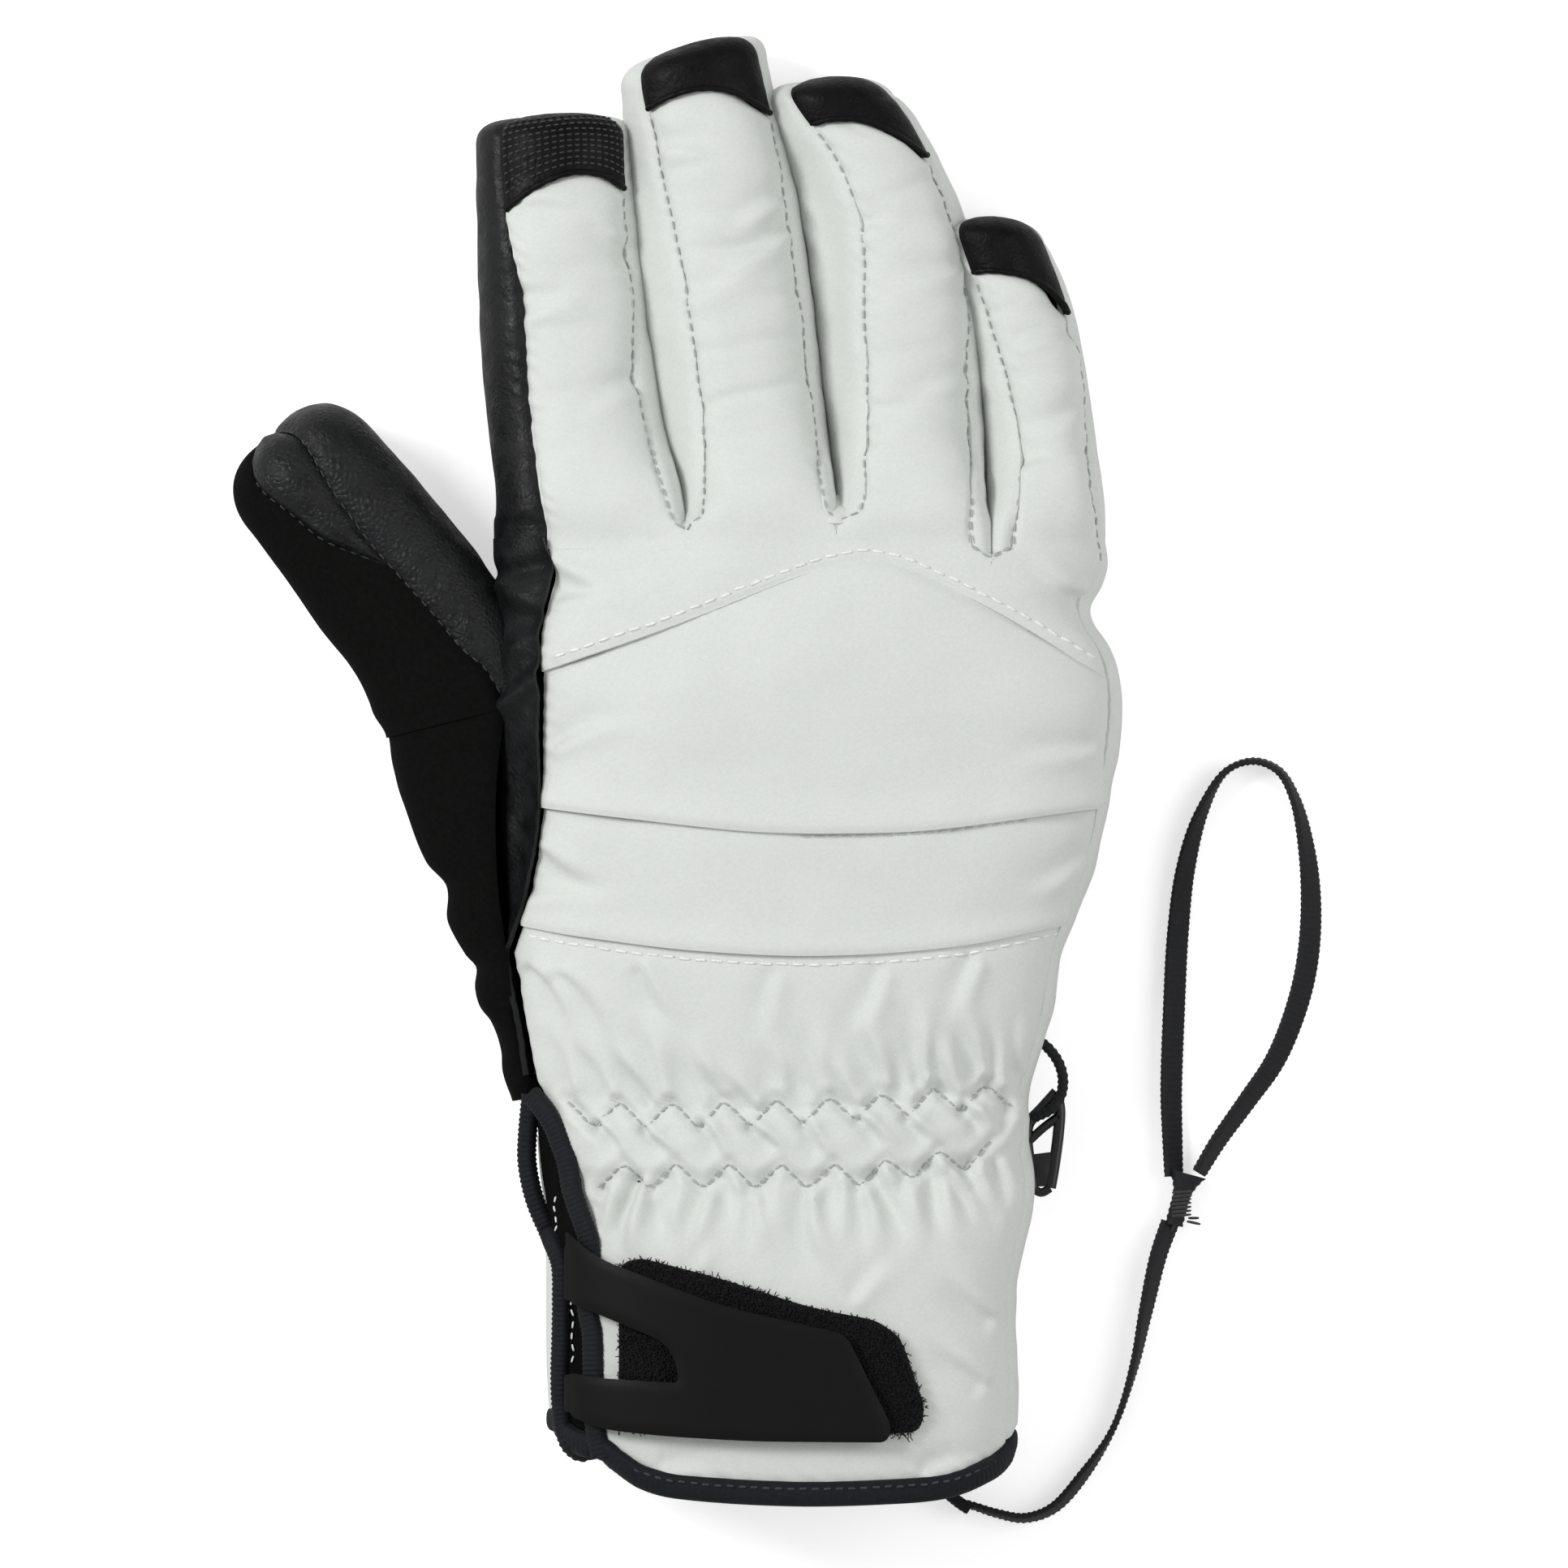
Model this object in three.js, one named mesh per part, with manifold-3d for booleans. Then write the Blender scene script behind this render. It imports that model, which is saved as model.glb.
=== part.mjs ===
// A right-hand ski glove lying palm down: sewn finger stalls, thumb, hand shell, wrist and gauntlet,
// with its closing strap, clip and wrist leash. Millimetres; +X to the little finger, +Y to the
// fingertips, +Z up from the flat palm, which lies on Z = 0.
import * as THREE from "three";
import { mergeVertices } from "three/addons/utils/BufferGeometryUtils.js";
import Module from "manifold-3d";

const wasm = await Module();
wasm.setup();

// ---- Driving dimensions -------------------------------------------------------------------------
const HAND_HEIGHT = 38; // palm to knuckles
const ROOT_HEIGHT = 33; // where the fingers start
const CUFF_HEIGHT = 38; // the gauntlet's mouth
const PALM_AXIS_X = -3; // the hand's centre line
const ROOT_Y = 44; // the fold at the finger roots
const KNUCKLE_SEAM_Y = 18; // the arched seam's two ends
const KNUCKLE_ARCH = 22; // and how far it rises in the middle
const PLEAT_UPPER_Y = -8;
const PLEAT_LOWER_Y = -31;
const WRIST_Y = -70; // the fold at the wrist, between the two elastics
const CUFF_LENGTH = 69.5; // wrist fold to the gauntlet's edge
const HEM_BAND = 4; // the binding's width
const SHELL = 1.6; // outer fabric or leather
const BACK_PADDING = 1.8; // insulation under the back of the hand
const MEMBRANE = 0.8;
const LINING = 1.4; // hand lining
const STALL_LINING = 1.5; // lining of each finger
const ELASTIC_WIDTH = 6;
const ELASTIC_THICK = 1;
const BINDING = 2.4; // thickness of the ribbed bindings
const PILE = 1.5; // loop patch
const HOOK_PAD = 0.9; // hooked face under the strap
const STRAP_THICK = 1.2;
const STRAP_FROM_HEM = 12.5; // the strap's lower edge above the gauntlet's edge
const STRAP_WIDTH = 34; // at its root, over both legs
const STRAP_LENGTH = 59;
const TAPE_WIDTH = 5; // leash tape
const TAPE_THICK = 1.3;
const CLIP_LENGTH = 18;
const CLIP_WIDTH = 7.6;
const CLIP_THICK = 2.6;
const CLIP_CORD = 2.1;

// ---- Clearances ---------------------------------------------------------------------------------
const GAP = 0.35; // between any two pieces that touch
const LAYER_GAP = 0.8; // between one layer of the wall and the next
const STALL_SPACE = 0.6; // taken off each side of a finger so that neighbours stay apart

// ---- Angles round a section, from the little-finger side over the back ----------------------------
const OUTER_SEAM = 27;
const INNER_SEAM = 144;
const PALM_SEAM_LEFT = 218;
const PALM_SEAM_RIGHT = 322;
const STALL_BACK = 33; // half the angle that a finger's back panel covers
const STALL_PALM = 52; // and its palm panel
const SLIT_NEAR = 139;
const SLIT_FAR = 167;
const BINDING_ANGLE = 3.5;
const SEAM_ANGLE = 0.7; // gap between two panels

const HEM_Y = WRIST_Y - CUFF_LENGTH;
const radians = THREE.MathUtils.degToRad;

// ---- Numbers along a line -----------------------------------------------------------------------
/** A smooth function through [station, value] rows, flat beyond both ends. */
function profile(rows) {
  const slopes = rows.map((row, i) => {
    const before = rows[Math.max(i - 1, 0)];
    const after = rows[Math.min(i + 1, rows.length - 1)];
    return (after[1] - before[1]) / (after[0] - before[0]);
  });
  return (at) => {
    if (at <= rows[0][0]) return rows[0][1];
    if (at >= rows.at(-1)[0]) return rows.at(-1)[1];
    const i = rows.findIndex((row) => row[0] > at) - 1;
    const span = rows[i + 1][0] - rows[i][0];
    const s = (at - rows[i][0]) / span;
    const blend = s * s * (3 - 2 * s);
    const lean = s * (1 - s) * ((1 - s) * slopes[i] - s * slopes[i + 1]) * span;
    return rows[i][1] + (rows[i + 1][1] - rows[i][1]) * blend + lean;
  };
}

// ---- Soft tubes ---------------------------------------------------------------------------------
const ROUNDNESS = 2.6; // 2 is an ellipse, more is boxier
const SINK = 3; // how far the section would reach under the ground before it is laid flat

/** One point of a stuffed section, as [sideways, up], at an inset from its outer skin. */
function sectionPoint(angle, left, right, height, inset, shrink = 1) {
  const c = Math.cos(radians(angle));
  const s = Math.sin(radians(angle));
  const reach = Math.max((c < 0 ? left : right) - inset, 0.5) * shrink;
  const half = ((height + SINK) / 2 - inset) * shrink;
  const middle = (height - SINK) / 2;
  const side = Math.sign(c) * Math.abs(c) ** (2 / ROUNDNESS) * reach;
  const up = middle + Math.sign(s) * Math.abs(s) ** (2 / ROUNDNESS) * half;
  return [side, Math.max(up, inset)];
}

/** The hand and gauntlet: its length runs along Y. */
const handLeft = profile([
  [HEM_Y, 47], [HEM_Y + 20, 48.5], [WRIST_Y - 20, 49], [WRIST_Y, 50], [WRIST_Y + 15, 52.5],
  [PLEAT_LOWER_Y, 56], [0, 59], [KNUCKLE_SEAM_Y, 59.5], [ROOT_Y, 59],
]);
const handRight = profile([
  [HEM_Y, 38], [HEM_Y + 20, 40.5], [WRIST_Y - 20, 43], [WRIST_Y, 43.5], [WRIST_Y + 15, 45.5],
  [PLEAT_LOWER_Y, 51.5], [0, 59.5], [KNUCKLE_SEAM_Y, 58], [ROOT_Y, 57.5],
]);
const handHeight = profile([
  [HEM_Y, CUFF_HEIGHT], [WRIST_Y - 20, CUFF_HEIGHT], [WRIST_Y, CUFF_HEIGHT - 2],
  [PLEAT_LOWER_Y, HAND_HEIGHT - 1], [0, HAND_HEIGHT], [KNUCKLE_SEAM_Y, HAND_HEIGHT], [ROOT_Y, ROOT_HEIGHT],
]);
function handSurface(y, angle, inset) {
  const [side, up] = sectionPoint(angle, handLeft(y), handRight(y), handHeight(y), inset);
  return new THREE.Vector3(PALM_AXIS_X + side, y, up);
}

/** A digit along a plan curve through [x, y, half width, height] rows, its last row at the tip. */
function digitSurface(rows, tipRound) {
  const centres = rows.map(([x, y]) => new THREE.Vector3(x, y, 0));
  const curve = new THREE.CatmullRomCurve3(centres, false, "centripetal");
  curve.arcLengthDivisions = 400;
  const length = curve.getLength();
  const stations = rows.map((_, i) => length * arcShare(curve, i / (rows.length - 1)));
  const width = profile(rows.map((row, i) => [stations[i], row[2]]));
  const height = profile(rows.map((row, i) => [stations[i], row[3]]));
  const tipStart = length - tipRound;
  function surface(along, angle, inset, shrink = 1) {
    const at = THREE.MathUtils.clamp(along / length, 0, 1);
    const centre = curve.getPointAt(at);
    const forward = curve.getTangentAt(at);
    const half = width(Math.min(along, tipStart));
    const [side, up] = sectionPoint(angle, half, half, height(Math.min(along, tipStart)), inset, shrink);
    return new THREE.Vector3(centre.x + forward.y * side, centre.y - forward.x * side, up);
  }
  /** A point of the rounded tip: turn 0 is where the rounding starts and 90 is the very end. */
  surface.tip = (turn, angle, inset) => {
    const reach = (tipRound - inset) * Math.sin(radians(turn)) ** 0.9;
    return surface(tipStart + reach, angle, inset, Math.max(Math.cos(radians(turn)), 0) ** 0.8);
  };
  return { surface, length, tipStart, curve };
}

/** The share of a curve's length that lies before its own parameter t. */
function arcShare(curve, t) {
  const lengths = curve.getLengths();
  const at = t * (lengths.length - 1);
  const i = Math.min(Math.floor(at), lengths.length - 2);
  return (lengths[i] + (lengths[i + 1] - lengths[i]) * (at - i)) / lengths.at(-1);
}

// ---- Closed solids ------------------------------------------------------------------------------
/** The closed solid that a geometry bounds. */
function solidOf(geometry) {
  const bare = geometry.clone();
  bare.deleteAttribute("normal");
  bare.deleteAttribute("uv");
  const merged = mergeVertices(bare, 1e-4);
  return new wasm.Manifold(new wasm.Mesh({
    numProp: 3,
    vertProperties: new Float32Array(merged.attributes.position.array),
    triVerts: new Uint32Array(merged.index.array),
  }));
}

/** The geometry of a closed solid. */
function geometryOf(solid) {
  const made = solid.getMesh();
  const geometry = new THREE.BufferGeometry();
  geometry.setAttribute("position", new THREE.BufferAttribute(made.vertProperties, 3));
  geometry.setIndex(new THREE.BufferAttribute(made.triVerts, 1));
  geometry.computeVertexNormals();
  return geometry;
}

/** A solid from corner points and triangles, turned so that its faces point out. */
function closed(points, triangles) {
  let volume = 0;
  for (const [a, b, c] of triangles) volume += points[a].dot(points[b].clone().cross(points[c]));
  const faces = volume < 0 ? triangles.map(([a, b, c]) => [a, c, b]) : triangles;
  const geometry = new THREE.BufferGeometry();
  const numbers = points.flatMap((p) => [p.x, p.y, p.z]);
  geometry.setAttribute("position", new THREE.Float32BufferAttribute(numbers, 3));
  geometry.setIndex(faces.flat());
  return solidOf(geometry);
}

/** Two triangles for each cell of a grid of corner numbers. */
function gridFaces(rows, columns, corner) {
  const faces = [];
  for (let i = 0; i < rows; i += 1) {
    for (let j = 0; j < columns; j += 1) {
      faces.push([corner(i, j), corner(i + 1, j), corner(i + 1, j + 1)]);
      faces.push([corner(i, j), corner(i + 1, j + 1), corner(i, j + 1)]);
    }
  }
  return faces;
}

/** A curved plate between two insets of a surface, over a stretch of its length and its angle. */
function plate(surface, [from, to], [start, end], [outer, inner], rows, columns) {
  const points = [];
  for (const inset of [outer, inner]) {
    for (let i = 0; i <= rows; i += 1) {
      for (let j = 0; j <= columns; j += 1) {
        points.push(surface(from + (to - from) * i / rows, start + (end - start) * j / columns, inset));
      }
    }
  }
  const layer = (rows + 1) * (columns + 1);
  const corner = (i, j) => i * (columns + 1) + j;
  const faces = gridFaces(rows, columns, corner);
  faces.push(...faces.map(([a, b, c]) => [a + layer, c + layer, b + layer]));
  const rim = [];
  for (let i = 0; i < rows; i += 1) rim.push([corner(i, 0), corner(i + 1, 0)]);
  for (let j = 0; j < columns; j += 1) rim.push([corner(rows, j), corner(rows, j + 1)]);
  for (let i = rows; i > 0; i -= 1) rim.push([corner(i, columns), corner(i - 1, columns)]);
  for (let j = columns; j > 0; j -= 1) rim.push([corner(0, j), corner(0, j - 1)]);
  for (const [a, b] of rim) faces.push([b, a, a + layer], [b, a + layer, b + layer]);
  return closed(points, faces);
}

/** Rings of points joined into a closed skin; it closes on itself, or ends in a point at each end. */
function skin(rings, poles) {
  const around = rings[0].length;
  const points = rings.flat();
  const corner = (i, j) => (i % rings.length) * around + (j % around);
  const faces = gridFaces(poles ? rings.length - 1 : rings.length, around, corner);
  if (poles) {
    points.push(...poles);
    const first = points.length - 2;
    const last = points.length - 1;
    for (let j = 0; j < around; j += 1) {
      faces.push([first, corner(0, j), corner(0, j + 1)]);
      faces.push([last, corner(rings.length - 1, j + 1), corner(rings.length - 1, j)]);
    }
  }
  return closed(points, faces);
}

const ringOf = (around, pointAt) => Array.from({ length: around }, (_, j) => pointAt(360 * j / around));

/** A tube wall between two insets of the hand. */
function sleeve(from, to, outer, inner, rows, around) {
  const station = (i) => from + (to - from) * i / rows;
  const rings = [];
  const ringAt = (i, inset) => ringOf(around, (angle) => handSurface(station(i), angle, inset));
  for (let i = 0; i <= rows; i += 1) rings.push(ringAt(i, outer));
  for (let i = rows; i >= 0; i -= 1) rings.push(ringAt(i, inner));
  return skin(rings);
}

/** The whole block inside one inset of the hand. */
function handBlock(from, to, inset) {
  const rings = [];
  const rows = 10;
  for (let i = 0; i <= rows; i += 1) {
    rings.push(ringOf(24, (angle) => handSurface(from + (to - from) * i / rows, angle, inset)));
  }
  const middle = (y) => new THREE.Vector3(PALM_AXIS_X, y, HAND_HEIGHT / 2);
  return skin(rings, [middle(from), middle(to)]);
}

const TIP_TURNS = [0, 26, 50, 72];

/** A closed-ended cup on a digit, from a station along it to the tip, between two insets. */
function thimble(digit, from, outer, inner, rows, around) {
  const ringsAt = (inset) => {
    const rings = [];
    for (let i = 0; i < rows; i += 1) {
      const along = from + (digit.tipStart - from) * i / rows;
      rings.push(ringOf(around, (angle) => digit.surface(along, angle, inset)));
    }
    for (const turn of TIP_TURNS) {
      rings.push(ringOf(around, (angle) => digit.surface.tip(turn, angle, inset)));
    }
    return rings;
  };
  const pole = (inset) => {
    const front = digit.surface.tip(90, 0, inset);
    return front.add(digit.surface.tip(90, 180, inset)).multiplyScalar(0.5);
  };
  return skin([...ringsAt(outer).reverse(), ...ringsAt(inner)], [pole(outer), pole(inner)]);
}

/** A solid block of a digit, closed at both ends. */
function digitBlock(digit, from, to, inset, rows, around) {
  const rings = [];
  for (let i = 0; i <= rows; i += 1) {
    rings.push(ringOf(around, (angle) => digit.surface(from + (to - from) * i / rows, angle, inset)));
  }
  const middle = (along) => {
    const sides = digit.surface(along, 0, inset).add(digit.surface(along, 180, inset));
    return sides.multiplyScalar(0.5);
  };
  return skin(rings, [middle(from), middle(to)]);
}

/** An upright block over a plan outline of [x, y] corners. */
function prism(corners, bottom = -5, top = 80) {
  const shape = new THREE.Shape(corners.map(([x, y]) => new THREE.Vector2(x, y)));
  const geometry = new THREE.ExtrudeGeometry(shape, { depth: top - bottom, bevelEnabled: false });
  return solidOf(geometry.translate(0, 0, bottom));
}

// ---- Materials and the assembly -----------------------------------------------------------------
const finishes = {
  shell: { color: 0xd8dcd8, roughness: 0.75 },
  leather: { color: 0x26282a, roughness: 0.55 },
  softshell: { color: 0x101010, roughness: 0.9 },
  binding: { color: 0x15181f, roughness: 0.8 },
  lining: { color: 0x3a3d40, roughness: 0.95 },
  padding: { color: 0xe8e8e4, roughness: 1 },
  membrane: { color: 0xbfc6cc, roughness: 0.4 },
  elastic: { color: 0xcfd2d0, roughness: 0.9 },
  strap: { color: 0x0c0c0c, roughness: 0.6 },
  pile: { color: 0x080808, roughness: 1 },
  clip: { color: 0x0a0a0a, roughness: 0.25 },
  tape: { color: 0x101216, roughness: 0.8 },
};
const glove = new THREE.Group();
function add(name, solid, finish) {
  const material = new THREE.MeshStandardMaterial({ metalness: 0, ...finishes[finish] });
  const mesh = new THREE.Mesh(solid instanceof THREE.BufferGeometry ? solid : geometryOf(solid), material);
  mesh.name = name;
  glove.add(mesh);
}

// ---- Fingers ------------------------------------------------------------------------------------
const STALL_ROWS = 6;
const AROUND_STALL = 14;
const TIP_ROUND = 15; // length of a fingertip's rounding and of its leather cap
const fingers = {
  index: [
    [-44, ROOT_Y + GAP, 17.9, 33], [-44, 50, 17.6, 30.5], [-45.5, 58, 17.2, 28], [-47.3, 69.8, 16.6, 26],
    [-49.1, 85.3, 15.9, 25.5],
    [-50.1, 100.8, 15.5, 25], [-50.8, 112, 15, 24.5], [-51.2, 124.8, 14.5, 24],
  ],
  middle: [
    [-11.5, ROOT_Y + GAP, 13.9, 33], [-11.5, 50, 14.1, 31], [-13, 58, 14.6, 28.5], [-15, 69.8, 15.3, 26.5],
    [-17.1, 85.3, 15.8, 26],
    [-19.3, 100.8, 15.8, 25.5], [-21.3, 116.3, 15.5, 25], [-24.6, 140.1, 14.6, 24.5],
  ],
  ring: [
    [17.4, ROOT_Y + GAP, 13.9, 33], [17.4, 52, 14, 30.5], [17, 58, 14.2, 28.5], [16.3, 69.8, 14.7, 26.5],
    [15.1, 85.3, 15.1, 26],
    [13.1, 100.8, 15, 25.5], [9.9, 111.6, 14.1, 25], [6.7, 119.4, 13.2, 24.5],
    [1.6, 131.5, 12.4, 24],
  ],
  little: [
    [43.6, ROOT_Y + GAP, 11.3, 32], [43.6, 50, 11.1, 28.5], [43.1, 56, 10.9, 26], [42.6, 64, 10.6, 24],
    [42, 76, 10.3, 23.5],
    [40.4, 88, 10.3, 23], [34.5, 105.9, 10, 22.5],
  ],
};
const wallNames = { index: ["leather_side", "inner_side"], little: ["inner_side", "outer_side"] };

function addFinger(name, rows) {
  const digit = digitSurface(rows.map(([x, y, half, high]) => [x, y, half - STALL_SPACE, high]), TIP_ROUND);
  const stretch = [0, digit.tipStart - GAP];
  const skinInsets = [0, SHELL];
  const panel = (start, end, columns) => {
    const angles = [start + SEAM_ANGLE, end - SEAM_ANGLE];
    return plate(digit.surface, stretch, angles, skinInsets, STALL_ROWS, columns);
  };
  const [thumbSide, littleSide] = wallNames[name] ?? ["thumb_side", "little_side"];
  add(`${name}_back`, panel(90 - STALL_BACK, 90 + STALL_BACK, 3), "shell");
  add(`${name}_palm`, panel(270 - STALL_PALM, 270 + STALL_PALM, 6), "leather");
  const thumbFinish = name === "index" ? "leather" : "shell";
  add(`${name}_${thumbSide}`, panel(90 + STALL_BACK, 270 - STALL_PALM, 4), thumbFinish);
  add(`${name}_${littleSide}`, panel(STALL_PALM - 90, 90 - STALL_BACK, 4), "shell");
  add(`${name}_tip_cap`, thimble(digit, digit.tipStart, 0, SHELL, 0, AROUND_STALL), "leather");
  const liner = SHELL + LAYER_GAP;
  const stall = thimble(digit, 0, liner, liner + STALL_LINING, STALL_ROWS - 1, AROUND_STALL);
  add(`${name}_liner`, stall, "lining");
}
for (const [name, rows] of Object.entries(fingers)) addFinger(name, rows);

// ---- Thumb and thenar ---------------------------------------------------------------------------
const THUMB_TIP_ROUND = 14;
const thumb = digitSurface([
  [-54, -63, 6, 16], [-57, -46, 9, 22], [-60, -30, 11, 25], [-63, -14, 13, 27], [-66, 2, 15, 28],
  [-71.5, 21, 15.4, 28], [-83.5, 38.8, 15, 27.5], [-96.5, 54.3, 14.6, 27], [-105.5, 64.5, 14, 26],
], THUMB_TIP_ROUND);
const THUMB_ROOT = thumb.length * arcShare(thumb.curve, 5 / 8); // at the sixth point above
const handClear = handBlock(WRIST_Y - 5, ROOT_Y + 5, -GAP);
const thumbClear = digitBlock(thumb, 2, thumb.tipStart, -GAP, 14, 18);
const THUMB_BACK_SEAM = 88; // between the grained inner panel and the softshell
const THUMB_PALM_LEFT = 222;
const THUMB_PALM_RIGHT = 318;

function thumbPanel(start, end, columns, from, to, rows) {
  const angles = [start + SEAM_ANGLE, end - SEAM_ANGLE];
  return plate(thumb.surface, [from, to], angles, [0, SHELL], rows, columns).subtract(handClear);
}
const thumbSpan = [THUMB_ROOT + GAP, thumb.tipStart - GAP, 5];
add("thumb_inner_leather", thumbPanel(THUMB_PALM_RIGHT - 360, THUMB_BACK_SEAM, 6, ...thumbSpan), "leather");
add("thumb_softshell", thumbPanel(THUMB_BACK_SEAM, THUMB_PALM_LEFT, 6, ...thumbSpan), "softshell");
add("thumb_palm", thumbPanel(THUMB_PALM_LEFT, THUMB_PALM_RIGHT, 4, ...thumbSpan), "leather");
add("thumb_tip_patch", thimble(thumb, thumb.tipStart, 0, SHELL, 0, AROUND_STALL), "leather");
const thumbInset = SHELL + LAYER_GAP;
const thumbLiner = thimble(thumb, THUMB_ROOT + GAP, thumbInset, thumbInset + STALL_LINING, 5, AROUND_STALL);
add("thumb_liner", thumbLiner.subtract(handClear), "lining");
const thenarSpan = [0, THUMB_ROOT - GAP, 8];
add("thenar_panel", thumbPanel(70, THUMB_PALM_LEFT, 7, ...thenarSpan), "softshell");
add("thenar_palm", thumbPanel(THUMB_PALM_LEFT, THUMB_PALM_RIGHT, 4, ...thenarSpan), "leather");

// ---- Hand ---------------------------------------------------------------------------------------
const handFront = ROOT_Y - GAP;
const WIDE = 120; // past both sides of the glove

/** The plan outline between two seams, each a function of x, lowered and raised by half a gap. */
function between(lower, upper) {
  const steps = 12;
  const line = (seam, shift) => Array.from({ length: steps + 1 }, (_, i) => {
    const x = -WIDE + 2 * WIDE * i / steps;
    return [x, seam(x) + shift];
  });
  return prism([...line(lower, GAP / 2), ...line(upper, -GAP / 2).reverse()]);
}
const archSeam = (x) => KNUCKLE_SEAM_Y + KNUCKLE_ARCH * Math.max(0, 1 - Math.abs(x - 4) / 58);
const upperPleat = () => PLEAT_UPPER_Y;
const lowerPleat = () => PLEAT_LOWER_Y;
const wristLine = () => WRIST_Y;
const hemLine = () => HEM_Y;
const rootLine = () => ROOT_Y;

/** A strip of the back of the hand between two seams. */
function backPanel(lower, upper, inset, thick) {
  const angles = [OUTER_SEAM + SEAM_ANGLE, INNER_SEAM - SEAM_ANGLE];
  const lowest = Math.min(lower(0), lower(WIDE)) - 2;
  const highest = Math.max(upper(4), upper(WIDE)) + 2;
  const rows = Math.max(3, Math.round((highest - lowest) / 11));
  const whole = plate(handSurface, [lowest, highest], angles, [inset, inset + thick], rows, 10);
  return whole.intersect(between(lower, upper));
}
add("upper_back_panel", backPanel(archSeam, rootLine, 0, SHELL), "shell");
add("knuckle_panel", backPanel(upperPleat, archSeam, 0, SHELL), "shell");
add("pleat_panel", backPanel(lowerPleat, upperPleat, 0, SHELL), "shell");
add("wrist_back_panel", backPanel(wristLine, lowerPleat, 0, SHELL), "shell");

const handStretch = [WRIST_Y + GAP, handFront];
const innerSide = [INNER_SEAM + SEAM_ANGLE, PALM_SEAM_LEFT - SEAM_ANGLE];
const sideLeather = plate(handSurface, handStretch, innerSide, [0, SHELL], 8, 4);
add("side_leather", sideLeather.subtract(thumbClear), "leather");
const outerSide = [PALM_SEAM_RIGHT - 360 + SEAM_ANGLE, OUTER_SEAM - SEAM_ANGLE];
add("outer_side_panel", plate(handSurface, handStretch, outerSide, [0, SHELL], 8, 4), "shell");
const palmAngles = [PALM_SEAM_LEFT + SEAM_ANGLE, PALM_SEAM_RIGHT - SEAM_ANGLE];
const palm = plate(handSurface, handStretch, palmAngles, [0, SHELL], 8, 8);
add("palm_leather", palm.subtract(thumbClear), "leather");

const paddingInset = SHELL + LAYER_GAP;
const membraneInset = paddingInset + BACK_PADDING + LAYER_GAP;
const liningInset = membraneInset + MEMBRANE + LAYER_GAP;
const elasticSpace = ELASTIC_WIDTH + 2 * GAP;
const UPPER_ELASTIC_Y = WRIST_Y + elasticSpace;
const paddingLayers = [paddingInset, paddingInset + BACK_PADDING];
add("back_padding", plate(handSurface, [UPPER_ELASTIC_Y, handFront], [32, 140], paddingLayers, 7, 8), "padding");
const membrane = sleeve(WRIST_Y + GAP, handFront, membraneInset, membraneInset + MEMBRANE, 7, 18);
add("membrane", membrane.subtract(thumbClear), "membrane");
const handLining = sleeve(WRIST_Y + GAP, handFront, liningInset, liningInset + LINING, 7, 18);
add("hand_lining", handLining.subtract(thumbClear), "lining");

// ---- Wrist elastics -----------------------------------------------------------------------------
function elastic(from) {
  const insets = [paddingInset, paddingInset + ELASTIC_THICK];
  return plate(handSurface, [from, from + ELASTIC_WIDTH], [32, 134], insets, 1, 12);
}
add("wrist_elastic_upper", elastic(WRIST_Y + GAP), "elastic");
add("wrist_elastic_lower", elastic(WRIST_Y - GAP - ELASTIC_WIDTH), "elastic");

// ---- Gauntlet -----------------------------------------------------------------------------------
const cuffTop = WRIST_Y - GAP;
const hemTop = HEM_Y + HEM_BAND;
const cuffStretch = [hemTop + GAP, cuffTop];
const cuffBack = [OUTER_SEAM + SEAM_ANGLE, SLIT_NEAR - SEAM_ANGLE];
add("cuff_back_panel", plate(handSurface, cuffStretch, cuffBack, [0, SHELL], 5, 10), "shell");
add("cuff_side_panel", plate(handSurface, cuffStretch, outerSide, [0, SHELL], 5, 4), "shell");
const cuffPalmStart = SLIT_FAR + BINDING_ANGLE + SEAM_ANGLE;
const cuffPalm = [cuffPalmStart, PALM_SEAM_RIGHT - SEAM_ANGLE];
add("cuff_palm_panel", plate(handSurface, cuffStretch, cuffPalm, [0, SHELL], 5, 10), "shell");
const bindingInsets = [SHELL - BINDING, SHELL];
const nearBinding = [SLIT_NEAR, SLIT_NEAR + BINDING_ANGLE];
const farBinding = [SLIT_FAR, SLIT_FAR + BINDING_ANGLE];
add("slit_binding_near", plate(handSurface, cuffStretch, nearBinding, bindingInsets, 5, 1), "binding");
add("slit_binding_far", plate(handSurface, cuffStretch, farBinding, bindingInsets, 5, 1), "binding");
const gussetInsets = [paddingInset, paddingInset + 1];
const gussetAngles = [SLIT_NEAR - 3, cuffPalmStart + 2];
add("slit_gusset", plate(handSurface, cuffStretch, gussetAngles, gussetInsets, 5, 3), "softshell");
add("cuff_lining", sleeve(hemTop + GAP, cuffTop, liningInset, liningInset + LINING, 4, 18), "lining");
add("hem_binding", sleeve(HEM_Y, hemTop, 0, liningInset + LINING, 1, 28), "binding");

// ---- Strap and loop patch -----------------------------------------------------------------------
const strapLow = HEM_Y + STRAP_FROM_HEM;
const strapHigh = strapLow + STRAP_WIDTH;
const strapRootX = -47.3;
const strapEndX = strapRootX + STRAP_LENGTH;

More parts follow.
